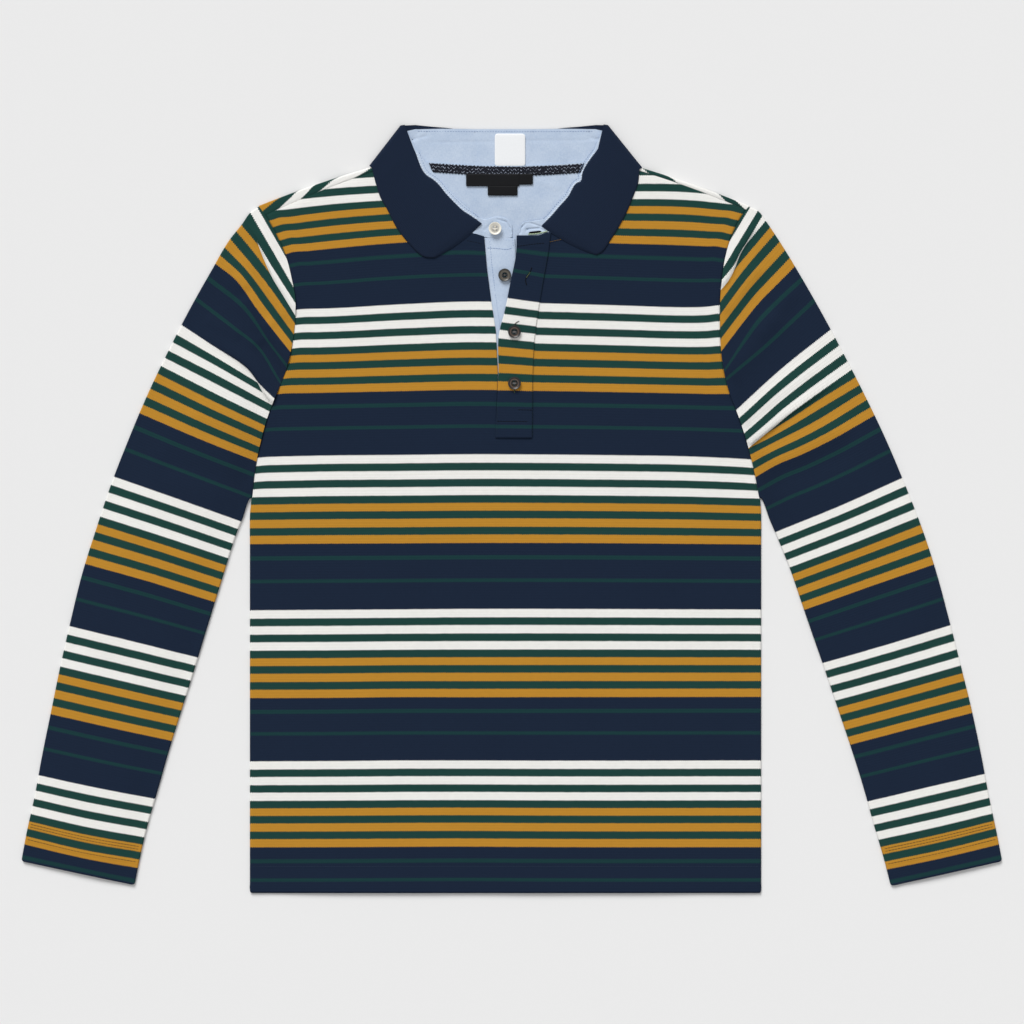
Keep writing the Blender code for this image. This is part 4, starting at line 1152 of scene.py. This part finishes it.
# ---------------------------------------------------------------- collar, stand and neck
@dataclass
class Band:
    """A band round the neck: in front it lies open, at its back it turns under.

    Attributes:
        right: Roll line x, y and lower edge x, y on the wearer's right, from the front end.
        left: The same on the left.
        folds: Roll line and edge at the sides of the neck, right and left.
        back: The same behind the neck, on one side.
        low: Level of the outer face behind the neck.
        spacing: Size of the cells.
        corner: How far the top corner is rounded at the side of the neck.
        bow: How far the front end bows out.
        creases: Soft ridges and troughs of the stretch behind the neck.
    """

    right: Table
    left: Table
    folds: tuple[Table, Table]
    back: Table
    low: float
    spacing: float = 2.6
    corner: float = 0.0
    bow: float = 0.0
    creases: tuple[Crease, ...] = ()

    def patch(self, top: Callable[[Array, Array], Array], columns: Array,
              relief: Callable[[Array, Array, Array, Array], Array]) -> Patch:
        """Return the band's grid.

        Args:
            top: Level of the outer face where the band lies open.
            columns: Places from the roll line at 0 to the edge at 1.
            relief: Height added over the open stretches, from x, y, the place across and the
                distance from the front end.

        Returns:
            The grid, from the right front end to the left one.
        """
        rows: list[Array] = []
        behind = drawn_out(self.back, 2.0 * self.spacing)
        for side, table, fold in zip(Side, (self.right, self.left), self.folds):
            roll, edge = np.array(fold[:2], float), np.array(fold[2:], float)
            fine = drawn_out(table, self.spacing)
            run = run_of(fine[:, :2])[:, None]
            x, y = between(fine, columns)
            ahead = fine[0, 2:4] - fine[0, :2]
            ahead /= np.hypot(*ahead)
            bowed = self.bow * 4.0 * columns * (1.0 - columns) * bell(run, 12.0, 1)
            x, y = x + side.value * ahead[1] * bowed, y - abs(ahead[0]) * bowed
            front = grid(x, y, top(x, y) + relief(x, y, *np.broadcast_arrays(columns, run)))
            radius = 0.5 * (float(top(*edge)) - self.low)
            inward = np.array([-side.value * abs(edge[1] - roll[1]), roll[0] - edge[0]])
            inward = inward / np.hypot(*inward)
            turned = []
            for angle in HALF_TURN:
                shift = inward * radius * (1.0 - math.sin(angle))
                cut = self.corner * math.sin(angle) / math.dist(roll, edge)
                line_x, line_y = between(np.array([fold], float), cut + (1.0 - cut) * columns)
                turned.append(grid(side.value * line_x[0] + shift[0], line_y[0] + shift[1],
                                   self.low + radius * (1.0 + math.cos(angle))))
            bridge = [front[-1] + (turned[0] - front[-1]) * t for t in np.linspace(0.0, 1.0, 9)[1:-1]]
            x, y = between(behind, columns)
            x = side.value * x
            height = self.low + sum((crease.at(x, y) for crease in self.creases), np.zeros_like(x))
            rows += [*front, *bridge, *turned, *grid(x, y, height)][::-side.value]
        points = np.array(rows)
        along = run_of(points[:, len(columns) // 2])
        lengths = np.linalg.norm(points[:, -1] - points[:, 0], axis=1)[:, None]
        return Patch(points, np.broadcast_to(along[:, None], points.shape[:2]), lengths * columns, flip=True)


@dataclass
class Collar:
    """The knitted collar: two leaves in front, and its back turned under the garment."""

    band: Band = field(default_factory=lambda: Band(
        ((-23, 654.6, -68.6, 621), (-32.8, 661.4, -79.2, 621.7), (-43.1, 668.4, -94, 634.5),
         (-55.8, 681.1, -105.7, 649.4), (-72, 698.4, -118, 672.6), (-75.4, 700.4, -119.8, 675.4),
         (-89.7, 727.9, -126.9, 694)),
        ((34.7, 652.2, 88.3, 623.4), (43.4, 660.4, 95.2, 627.4), (52.2, 670.6, 103.4, 639.4),
         (61.5, 681.1, 113.4, 655.8), (70.4, 694.4, 120.6, 670.4), (73.4, 695.6, 121.8, 673.4),
         (75, 703, 123.6, 677.8), (90.4, 727.9, 129.6, 693)),
        ((101, 752.9, 133.2, 711.2), (98.4, 753.3, 133.6, 709.6)),
        ((88, 751.2, 114, 704), (72, 749.6, 84, 697), (54, 748, 56, 694),
         (36, 745.6, 36, 692.6), (20, 744.4, 20, 692), (0, 744.4, 0, 692)), 0, corner=3.2, bow=2.4))
    width: float = 56.0

    def relief(self, x: Array, y: Array, share: Array, run: Array) -> Array:
        """Return how the leaves are rounded at their borders and crowned between them."""
        crown = 0.9 * np.sin(math.pi * share) ** 0.8 * smooth(run / 12.0)
        fall = edge_drop(share * self.width, 3.2, 1.3) + edge_drop((1.0 - share) * self.width, 1.8, 1.1)
        return crown - fall - edge_drop(run, 1.8, 1.1)

    def level(self, x: Array, y: Array) -> Array:
        """Return the leaves' level."""
        return front_top(x, y) + 0.4 + COLLAR_KNIT

    def build(self, finish: Material) -> Object:
        """Build the collar."""
        patch = self.band.patch(self.level, shares(58.0, 2.4), self.relief)
        return cloth("collar_knit", [patch], COLLAR_KNIT, finish)


@dataclass
class Stand:
    """The chambray stand: its back shows inside the neck, its ends meet at the placket."""

    band: Band = field(default_factory=lambda: Band(
        ((6.6, 653, 6.6, 641.4), (2.6, 658.6, 3.2, 640.2), (-8, 661.4, -8, 640),
         (-21, 659, -23, 641.6), (-36, 669, -44, 648.6), (-52, 684, -62.4, 653),
         (-71, 705, -83, 667), (-87, 727, -97.8, 689)),
        ((13.4, 649, 13.2, 642), (16.6, 655, 17.6, 641.6), (27, 657.2, 29, 642),
         (38, 659.6, 42, 645.8), (51, 674.6, 60.4, 653.6), (68, 696, 82, 667),
         (87, 727, 97, 689)),
        ((98.4, 745.8, 108.6, 718.4), (96.4, 746.2, 107.6, 717.4)),
        ((88, 747, 97, 713.6), (62, 747.4, 74, 710.6), (24, 747, 24, 707.2),
         (0, 747, 0, 707.2)), FALL_LIFT, 1.3, creases=creased(
             (-29.8, 748, -29, 714, -0.5, 1.3), (26.9, 748, 27.4, 716, -0.3, 1.6),
             (-95, 745.5, -90.8, 736, -0.6, 1.1), (-91.2, 736.4, -84, 746, -0.6, 1.1),
             (-91.2, 736.8, -78, 740.2, -0.5, 1.1), (-78.2, 740, -77.2, 747, -0.5, 1.1),
             (80.3, 745.4, 84, 738.2, -0.6, 1.1), (83.4, 738.8, 90.6, 736.6, -0.6, 1.1),
             (90.4, 737, 91.8, 741.4, -0.6, 1.1), (91.8, 740.6, 89.4, 747.4, -0.5, 1.1),
             (-62, 734.2, 76, 736.4, -0.3, 0.9), (48, 730, 56, 716, 0.3, 3), (66, 742, 62, 714, -0.3, 2.2),
             (-62, 744, -54, 716, 0.3, 3))))

    end_creases: tuple[Crease, ...] = creased(
        (20.2, 647, 22, 649.2, -0.9, 0.9), (21.4, 649, 32.6, 650, -0.9, 0.9),
        (24, 655.2, 34.6, 651.6, -0.9, 0.9), (32, 650.4, 40.4, 646.8, -0.8, 1),
        (14.4, 645, 16.2, 651.6, -0.7, 0.9), (16, 651.2, 20.6, 655.4, -0.7, 0.9),
        (-7.6, 658.6, 0.4, 656.4, -0.7, 0.8), (0.2, 656.6, 4.2, 650.6, -0.7, 0.8),
        (4, 650.8, 5.6, 645.4, -0.6, 0.8), (-20.6, 648, -12.6, 655.6, -0.5, 1.2))

    # Line of a black bar where the stand's buttonhole shows dark: its black is painted shade in the slit.
    slit: Table = ((21.6, 645.1, STAND_LEVEL), (29.0, 645.9, STAND_LEVEL), (36.4, 646.8, STAND_LEVEL))
    slit_edge: Table = ((22, 644, STAND_LEVEL + 0.5), (31, 644.5, STAND_LEVEL + 0.5), (41, 647, STAND_LEVEL + 0.5))
    width: float = 30.0

    def relief(self, x: Array, y: Array, share: Array, run: Array) -> Array:
        """Return how the stand is rounded at its borders and settles on the placket at its ends."""
        settled = 1.5 * smooth((x + 31.0) / 9.0) * (1.0 - smooth((x - 8.0) / 3.0))
        fall = edge_drop(share * self.width, 1.0, 0.5) + edge_drop((1.0 - share) * self.width, 1.0, 0.3)
        pressed = sum(crease.at(x, y) for crease in self.end_creases)
        return pressed - fall - edge_drop(run, 0.9, 0.4) - settled

    def level(self, x: Array, _y: Array) -> Array:
        """Return the level of the front ends."""
        return STAND_LEVEL + 0.0 * x

    def build(self, finish: Material) -> Object:
        """Build the stand."""
        patch = self.band.patch(self.level, shares(34.0, 1.2), self.relief)
        return cloth("collar_stand_band", [patch], CHAMBRAY, finish)

    def top_row(self) -> Array:
        """Return the row of stitches along the stand's top behind the neck."""
        x = np.linspace(-86.0, 86.0, 60)
        return grid(x, 744.6 + 0.00006 * x * x, self.band.low + CHAMBRAY + 0.03)

    def beside(self, roll: tuple[Table, Table], inset: float) -> list[Array]:
        """Return the lines at a distance in from the collar's roll line."""
        lines = []
        for side, table in zip(Side, roll):
            line = drawn_out(table, 2.0)[3:-2, :2]
            step = np.gradient(line, axis=0)
            step /= np.hypot(step[:, 0], step[:, 1])[:, None]
            inward = np.stack([-side.value * np.abs(step[:, 1]), np.abs(step[:, 0])], -1)
            lines.append(grid(*(line + inset * inward).T, STAND_LEVEL + SUNK))
        return lines


@dataclass
class NeckInside:
    """What shows inside the neck: the half-moon facing, the tape and the blank labels."""

    tape_line: Points = ((-73, 709.2), (-50, 707.7), (-20, 706.2), (10, 705.8), (45, 706.8), (75, 708.7))
    tape_width: float = 8.9
    facing_width: float = 98.0
    facing_depth: float = 112.0

    def facing(self, finish: Material) -> Object:
        """Build the half-moon facing."""
        y = np.linspace(597.0, 711.0, 44)[:, None]
        part = np.linspace(-1.0, 1.0, 61)
        below = np.maximum(0.0, 706.0 - y) / self.facing_depth
        x = self.facing_width * np.sqrt(np.maximum(0.05, 1.0 - below**2)) * part
        lifted = y + 0.0006 * x * x * smooth((y - 690.0) / 20.0)
        z = back_lift(x, lifted) + JERSEY + SEAM_GAP + CHAMBRAY
        z += Crease(31.8, 696.2, 52.2, 689.4, 0.5, 1.6).at(x, lifted)
        z += 0.18 * np.sin(x / 21.0 + 0.4) * np.sin(lifted / 13.0)
        return cloth("half_moon_facing", [Patch(grid(x, lifted, z), x, lifted)], CHAMBRAY, finish)

    def tape(self, finish: Material) -> Object:
        """Build the tape over the back neck seam."""
        line = drawn_out(self.tape_line, 1.6, 1)
        part = shares(self.tape_width, 1.6)
        cross = (part - 0.5)[:, None] * self.tape_width
        slant = 3.6 * (part - 0.5)[:, None]
        ends = (line[:, 0] - line[0, 0]) / (line[-1, 0] - line[0, 0])
        x = line[:, 0] + slant * (2.0 * ends - 1.0)
        fray = 0.65 * np.sin(line[:, 0] * 2.1 + np.sin(line[:, 0] / 5.0))
        y = line[:, 1] + cross + fray * np.sign(cross) * (np.abs(cross) > 3.6)
        inside = np.minimum(part, 1.0 - part)[:, None] * self.tape_width
        z = TAPE_LEVEL - edge_drop(inside, 1.0, 0.4) + 0.12 * np.sin(x * 1.7)
        return cloth("neck_tape_herringbone", [Patch(grid(x, y, z), x, y - line[:, 1])], TAPE, finish)

    def label(self, name: str, box: tuple[float, float, float, float], corner: float, wall: float,
              level: float, finish: Material) -> Object:
        """Build a blank label.

        Args:
            name: Name of the piece.
            box: Low x, low y, high x and high y.
            corner: Radius of its corners.
            wall: Its thickness.
            level: Level of its underside.
            finish: Its finish.

        Returns:
            The label.
        """
        low_x, low_y, high_x, high_y = box
        middle = np.array([(low_x + high_x) / 2.0, (low_y + high_y) / 2.0])
        outline = []
        corners = np.array([(high_x, high_y), (low_x, high_y), (low_x, low_y), (high_x, low_y)])
        for index, place_of in enumerate(corners):
            inner = place_of - corner * np.sign(place_of - middle)
            turn = np.radians(90.0 * index + np.linspace(0.0, 90.0, 6))
            outline.append(inner + corner * np.stack([np.cos(turn), np.sin(turn)], -1))
        ring = np.vstack(outline)
        loop = np.vstack([ring, ring[:1]])
        run = run_of(loop)
        at = np.union1d(run, np.arange(0.0, run[-1], 1.2))[:-1]
        ring = np.stack([np.interp(at, run, loop[:, 0]), np.interp(at, run, loop[:, 1])], -1)
        inside = (high_y - low_y) / 2.0
        scale = np.array([1.0, 1.0 - 0.25 / inside, 1.0 - 0.7 / inside, 0.8, 0.6, 0.4, 0.2, 0.0])[:, None]
        x, y = (middle[k] + (ring[:, k] - middle[k]) * scale for k in (0, 1))
        z = level + wall - edge_drop((1.0 - scale) * inside, 0.6, 0.25)
        z = z + 0.1 * np.sin(x / 9.0 + 1.0) * (1.0 - scale**4)
        return cloth(name, [Patch(grid(x, y, z), x, y, closed=True, flip=True)], wall, finish)


# ---------------------------------------------------------------- the placket
@dataclass
class Placket:
    """The two bands of the front opening."""

    under: tuple = ((449, -15, 19), (505, -15, 20), (549, -16, 19), (578, -20, 15.5),
                    (611, -24.5, 11), (640.4, -27, 9))
    over: tuple = ((445, -10, 26), (470, -8.8, 26.2), (509, -6.9, 26.8), (549, -6, 29.6),
                   (566, -1.5, 32), (598, 5, 37), (626, 10.4, 42), (641.6, 10.9, 44.6))

    spacing: float = 2.2
    width: float = 35.0

    def spread(self, table: Table) -> tuple[Array, Array, Array]:
        """Return x, y and the distance from the left edge of a band's grid."""
        fine = drawn_out([(low, y, high, y) for y, low, high in table], self.spacing)
        part = shares(36.0, self.spacing)
        heights = fine[:, 1:2]
        top, foot = heights[-1, 0], heights[0, 0]
        ends = shares(top - foot, self.spacing) * (top - foot) + foot
        rows = np.stack([np.interp(ends, fine[:, 1], fine[:, k]) for k in range(4)], -1)
        x, y = between(rows, part)
        return x, y, part * self.width

    def rounded(self, x: Array, y: Array, depth: float) -> Array:
        """Return how far the band falls away at its four borders."""
        side = np.minimum(np.abs(x - x[:, :1]), np.abs(x - x[:, -1:]))
        return edge_drop(side, 1.1, depth) + edge_drop(np.minimum(y - y[0, 0], y[-1, 0] - y), 1.1, depth)

    def build_under(self, finish: Material) -> Object:
        """Build the chambray band that carries the buttons."""
        x, y, across = self.spread(self.under)
        z = UNDER_LEVEL - self.rounded(x, y, 0.4) - 0.12 * bell(across - 5.0, 1.1)
        z += Crease(-12.5, 586.5, -1.5, 586.0, 0.3, 1.2).at(x, y) + 0.1 * np.sin(y / 11.0)
        for seam in (630.4, 641.0):
            z -= 0.25 * bell(y - seam, 0.9)
        return cloth("placket_under_band", [Patch(grid(x, y, z), x, y)], CHAMBRAY, finish)

    def over_level(self, x: Array, y: Array) -> Array:
        """Return the level of the top band."""
        return front_top(x, y) + SEAM_GAP + JERSEY

    def build_over(self, finish: Material) -> Object:
        """Build the striped band with the buttonholes."""
        x, y, across = self.spread(self.over)
        z = self.over_level(x, y) - self.rounded(x, y, 0.55) - 0.22 * bell(self.width - across - 1.6, 0.9)
        y = y + (1.3 + 3.0 * smooth((x - 31.0) / 11.0)) * smooth((y - 620.0) / 21.0)
        return cloth("placket_top_band", [Patch(grid(x, y, z), x, PLACKET_STRIPES.at(x, y))], JERSEY, finish)

    def line(self, points: Points, extra: float = 0.0) -> Array:
        """Return a line of stitches on the top band."""
        fine = drawn_out(points, 2.0, 1)
        return np.column_stack([fine, self.over_level(fine[:, 0], fine[:, 1]) + extra])


# ---------------------------------------------------------------- buttons
@dataclass
class Buttons:
    """Four-hole buttons, turned once and copied.

    Attributes:
        diameter: Size across, 20 line.
        height: Thickness.
        rim: Width of the rim.
        dish: Depth of the middle.
        hole: Diameter of a hole.
        spread: Distance of a hole from the axis, along x and along y.
    """

    diameter: float = 12.7
    height: float = 2.6
    rim: float = 1.9
    dish: float = 0.8
    hole: float = 1.7
    spread: float = 1.5

    def pattern(self) -> Object:
        """Model the button at the origin, from a cylinder."""
        bpy.ops.object.select_all(action="DESELECT")
        bpy.ops.mesh.primitive_cylinder_add(vertices=48, radius=0.5 * self.diameter * MM,
                                            depth=self.height * MM, location=(0.0, 0.0, 0.5 * self.height * MM))
        item = bpy.context.active_object
        item.name = "button_pattern"
        bpy.ops.object.transform_apply(location=True, rotation=True, scale=True)
        bpy.ops.object.mode_set(mode="EDIT")
        bpy.ops.mesh.select_mode(type="FACE")
        self.pick(item, lambda face: face.normal.z < -0.9)
        bpy.ops.transform.resize(value=(0.8, 0.8, 1.0), center_override=(0.0, 0.0, 0.0))
        self.pick(item, lambda face: face.normal.z > 0.9)
        bpy.ops.mesh.inset(thickness=0.35 * self.rim * MM)
        bpy.ops.mesh.inset(thickness=0.65 * self.rim * MM)
        bpy.ops.transform.translate(value=(0.0, 0.0, -self.dish * MM))
        bpy.ops.mesh.inset(thickness=0.5 * self.rim * MM)
        bpy.ops.object.mode_set(mode="OBJECT")
        soft = item.modifiers.new("soft_edges", "BEVEL")
        soft.width, soft.segments = 0.28 * MM, 3
        soft.limit_method, soft.angle_limit = "ANGLE", math.radians(25.0)
        apply_all(item)
        for x_sign in (-1, 1):
            for y_sign in (-1, 1):
                self.drill(item, x_sign * self.spread, y_sign * self.spread)
        return item

    def pick(self, item: Object, wanted: Callable[[bmesh.types.BMFace], bool]) -> None:
        """Select the faces that are wanted, in edit mode."""
        bpy.ops.mesh.select_all(action="DESELECT")
        work = bmesh.from_edit_mesh(item.data)
        for face in work.faces:
            face.select = wanted(face)
        bmesh.update_edit_mesh(item.data)

    def drill(self, item: Object, x: float, y: float) -> None:
        """Drill one hole through the button."""
        bpy.ops.object.select_all(action="DESELECT")
        bpy.ops.mesh.primitive_cylinder_add(vertices=20, radius=0.5 * self.hole * MM,
                                            depth=4.0 * self.height * MM, location=(x * MM, y * MM, 0.0))
        drill = bpy.context.active_object
        cut = item.modifiers.new("hole", "BOOLEAN")
        cut.operation, cut.object, cut.solver = "DIFFERENCE", drill, "EXACT"
        apply_all(item)
        bpy.data.objects.remove(drill, do_unlink=True)

    def copy(self, pattern: Object, name: str, centre: tuple[float, float, float],
             finish: Material) -> Object:
        """Copy the button to its place, with rings about its own middle."""
        mesh = pattern.data.copy()
        mesh.name = name
        mesh.materials.clear()
        layer = mesh.uv_layers.get("cloth") or mesh.uv_layers.new(name="cloth")
        where = np.array([mesh.vertices[loop.vertex_index].co[:2] for loop in mesh.loops]) / MM
        layer.uv.foreach_set("vector", where.astype(np.float32).ravel())
        for vertex in mesh.vertices:
            vertex.co += place(*centre)
        item = new_object(name, mesh, finish)
        mesh.shade_smooth()
        mesh.set_sharp_from_angle(angle=math.radians(35.0))
        return item

    def thread(self, centre: tuple[float, float, float]) -> list[Array]:
        """Return two bars of thread over the holes."""
        x, y, level = centre
        lines = []
        for y_sign in (-1, 1):
            for shift in (-0.28, 0.0, 0.28):
                spot = y + y_sign * self.spread + shift
                ends = [(x + way * (self.spread + 0.5), spot, level + 1.95) for way in (-1, 1)]
                lines.append(np.array([ends[0], (x, spot + 0.1, level + 2.3), ends[1]]))
        return lines


# ---------------------------------------------------------------- the studio
@dataclass
class Studio:
    """Pale floor, soft lights and the camera straight above."""

    millimetres_per_pixel: float = 0.9785
    pixels: int = 1024
    distance: float = 3.4
    floor_tone: tuple = srgb(232, 232, 232)
    floor_depth: float = 0.2

    def floor(self) -> None:
        """Lay the floor."""
        bpy.ops.object.select_all(action="DESELECT")
        bpy.ops.mesh.primitive_plane_add(size=8.0, location=(0.0, 0.0, -self.floor_depth * MM))
        item = bpy.context.active_object
        item.name = "studio_floor"
        web = Web("pale_floor")
        finish = web.dress(Base_Color=self.floor_tone, Roughness=0.9, Specular_IOR_Level=0.1)
        item.data.materials.append(finish)

    def light(self, name: str, where: tuple[float, float, float], spread: float, power: float) -> None:
        """Hang a wide, far light that faces the garment."""
        data = bpy.data.lights.new(name, "SUN")
        data.angle, data.energy = math.radians(spread), power
        item = bpy.data.objects.new(name, data)
        item.location = where
        item.rotation_euler = (-Vector(where)).to_track_quat("-Z", "Y").to_euler()
        bpy.context.scene.collection.objects.link(item)

    def camera(self) -> None:
        """Set the camera straight above the middle of the picture."""
        view = self.pixels * self.millimetres_per_pixel * MM
        data = bpy.data.cameras.new("camera")
        data.sensor_width = 36.0
        data.lens = data.sensor_width * self.distance / view
        item = bpy.data.objects.new("camera", data)
        item.location = (0.00026, -0.0027, self.distance)
        bpy.context.scene.collection.objects.link(item)
        bpy.context.scene.camera = item

    def build(self) -> None:
        """Set up the studio."""
        bpy.context.scene.view_settings.view_transform = "Standard"
        self.camera()
        self.floor()
        self.light("key_light", (-1.0, 3.05, 2.3), 30.0, 2.8)
        self.light("fill_light", (0.6, -1.2, 2.6), 60.0, 0.3)
        world = bpy.data.worlds.new("studio_air")
        world.use_nodes = True
        air = world.node_tree.nodes["Background"]
        air.inputs["Color"].default_value, air.inputs["Strength"].default_value = (1.0, 1.0, 1.0, 1.0), 0.42
        bpy.context.scene.world = world


# ---------------------------------------------------------------- the whole garment
# The pale blue thread draws no seam: it is a painted highlight along the stand's roll line.
THREADS = {"dark": (24, 40, 44), "blue": (118, 142, 182), "hem": (58, 72, 88), "black": (8, 9, 11),
           "pale_green": (172, 190, 160), "ochre": (118, 90, 36), "painted_highlight_blue": (214, 225, 238),
           "tack": (88, 98, 72), "pale": (205, 200, 188)}
RESINS = {
    "grey": ((0, (80, 78, 76)), (0.7, (15, 14, 15)), (2.9, (82, 77, 68)), (4.6, (70, 66, 59)),
             (5.6, (30, 29, 29))),
    "dark": ((0, (88, 86, 86)), (1.7, (18, 17, 18)), (3.5, (86, 68, 56)), (4.3, (46, 36, 34)),
             (4.9, (27, 25, 26))),
    "pale": ((0, (216, 212, 202)), (2.3, (184, 180, 170)), (3.9, (206, 202, 192)), (4.5, (236, 232, 220)))}
# Each piece's name and thread, its stitch's length, pitch and thickness, and its rows, each with
# a height over the band.
OVER_ROWS = (
    ("placket_stitches", "dark", (2.2, 3, 0.3), (
        (0, ((41.6, 626.1), (33.5, 580), (30.1, 557), (28.2, 541), (27, 510), (26.3, 446))),
        (0, ((-8, 472.6), (-8.2, 447.4))))),
    ("dark_topstitches", "black", (2.6, 2.7, 0.55), (
        (0, ((11.2, 632.1), (25.1, 634), (38.3, 635.4))),
        (-1.4, ((-38, 637.8), (-34.6, 637.2), (-21, 634.2))),
        (0, ((-8.4, 461.3), (22.6, 461))), (0, ((12.4, 472.6), (25.6, 472.3))))),
    ("neck_topstitches_ochre", "ochre", (2.3, 2.5, 0.4), ((-0.75, ((40, 635.8), (55.1, 639.2))),)),
    ("placket_buttonhole_1", "black", (1.6, 1.6, 0.9), (
        (0.1, ((25.8, 611.6), (24.4, 607.8), (20.6, 602.6), (19.6, 599.6), (20.6, 594.4))),
        (0.35, ((8.4, 553.4), (10.2, 557.4), (14.4, 559.4))))),
    ("placket_buttonhole_1_thread", "tack", (1.6, 1.6, 0.8), (
        (0.4, ((24, 606.6), (20.4, 601.6))), (0.2, ((8.7, 492.2), (8.8, 488.4))))))
UNDER_ROWS = (
    ("placket_under_stitches", "blue", (1.7, 2.5, 0.4), (
        (0, ((-20.4, 638.8), (6.4, 638.6))), (0.04, ((6.8, 642), (7.8, 631))),
        (0.04, ((-15.4, 638), (-13, 611), (-8.8, 578), (-4.6, 549), (-4, 520))))),
    ("placket_under_fold", "blue", (2.8, 2.7, 0.5), (
        (0.02, ((-18, 630.8), (-8, 630.3), (0, 629.2), (3.6, 629.6), (7.6, 631.4))),)))


class Shirt:
    """The whole garment, piece by piece."""

    def __init__(self) -> None:
        """Mix the finishes that several pieces share."""
        self.jersey, self.chambray = StripedJersey().material(), ChambrayCloth().material()
        self.threads = {name: Thread(f"{name}_thread", colour).material() for name, colour in THREADS.items()}

    def sewn(self, name: str, lines: Sequence[Array], thread: str, stitch: Sequence[float],
             slot: str = "striped_jersey") -> Object:
        """Make rows of stitches of a length, pitch and thickness."""
        return kept(sewn_down(name, lines, self.threads[thread], *stitch), slot)

    def body(self) -> None:
        """Build the two panels and the sleeves."""
        body = Body()
        back = kept(body.back(self.jersey), "striped_jersey", "back")
        front = kept(body.front(self.jersey), "striped_jersey", "front")
        hem = self.sewn("hem_stitches", body.stitches(), "hem", (1.4, 2.7, 0.3))
        for sleeve in (SLEEVE_RIGHT, SLEEVE_LEFT):
            tube = kept(sleeve.build(self.jersey), "striped_jersey", sleeve.name)
            seam = self.sewn(f"{sleeve.name}_cuff_stitches", sleeve.stitches(), "dark", (3.0, 3.1, 0.5))

    def neck(self) -> None:
        """Build the collar, its stand and what shows inside the neck."""
        neck, parts, leaves = NeckInside(), Stand(), Collar()
        satin, roll = WovenSatin().material(), (leaves.band.right, leaves.band.left)
        facing = kept(neck.facing(self.chambray), "blue_chambray", "yoke_facing")
        tape = kept(neck.tape(HerringboneTape().material()), "herringbone_tape", "neck_tape")
        labels = [kept(neck.label(f"label_{name}_blank", box, 0.3, TAPE, LABEL_LEVEL, satin),
                       "label_black", *nodes)
                  for name, box, nodes in (("main", (-38.4, 691.4, 13.6, 702.6), ["label_main"]),
                                           ("main_end", (14.0, 693.0, 26.4, 702.6), []),
                                           ("size", (-17.2, 682.2, 11.5, 691.0), ["label_size"]))]
        stand = kept(parts.build(self.chambray), "blue_chambray", "collar_stand")
        film = kept(neck.label("collar_label_blank", (-10.2, 710.9, 19.0, 742.3), 2.5, 0.5,
                               FALL_LIFT + CHAMBRAY + SEAM_GAP, SealedFilm().material()),
                    "label_white", "collar_label")
        collar = kept(leaves.build(FlatKnit().material()), "navy_knit", "collar")
        sewing = [self.sewn(name, lines, thread, stitch, "blue_chambray") for name, lines, thread, stitch in (
            ("collar_stand_stitches", [parts.top_row(), *parts.beside(roll, 3.4)], "blue", (1.8, 2.6, 0.42)),
            # A continuous pale blue line 0.7 mm inside the roll line: a painted highlight along the stand's fold,
            # drawn with the stitch maker.
            ("collar_stand_painted_highlight", parts.beside(roll, 0.7), "painted_highlight_blue", (3.0, 2.9, 0.9)),
            # The black bar in the buttonhole's slit is painted shade.
            ("collar_buttonhole_slit_painted_shade", [parts.slit], "black", (14.4, 14.6, 2.3)),
            ("collar_buttonhole_edge", [parts.slit_edge], "pale_green", (1.5, 1.6, 1.5)))]

    def placket(self) -> None:
        """Build the two bands of the front opening and sew them."""
        bands = Placket()
        under = kept(bands.build_under(self.chambray), "blue_chambray", "placket_under")
        over = kept(bands.build_over(self.jersey), "striped_jersey", "placket_top")
        over_rows = [self.sewn(name, [bands.line(points, extra) for extra, points in rows], thread, stitch)
                     for name, thread, stitch, rows in OVER_ROWS]
        for name, thread, stitch, rows in UNDER_ROWS:
            lines = [[(x, y, UNDER_LEVEL + extra) for x, y in points] for extra, points in rows]
            self.sewn(name, lines, thread, stitch, "blue_chambray")

    def buttons(self) -> None:
        """Turn the buttons and sew them on."""
        buttons = Buttons()
        pattern = buttons.pattern()
        resins = {name: Resin(f"button_{name}_resin", rings).material() for name, rings in RESINS.items()}
        for name, centre, resin, thread in (
                ("button_collar", (-10.2, 649.6, 5.5), "pale", "pale"),
                ("button_1", (-0.8, 604.2, 4.0), "grey", "dark"),
                ("button_2", (8.7, 548.6, 6.8), "dark", "dark"),
                ("button_3", (8.7, 498.4, 6.8), "dark", "dark")):
            slot = "button_white" if resin == "pale" else "button_dark"
            kept(buttons.copy(pattern, f"{name}_turned", centre, resins[resin]), slot, name)
            self.sewn(f"{name}_thread", buttons.thread(centre), thread, (3.6, 3.9, 0.42), slot)
        bpy.data.objects.remove(pattern, do_unlink=True)


def main() -> None:
    """Build the studio and every piece of the garment."""
    logging.basicConfig(level=logging.INFO, format="%(message)s")
    Studio().build()
    shirt = Shirt()
    for build in (shirt.body, shirt.neck, shirt.placket, shirt.buttons):
        build()


if __name__ == "__main__":
    main()
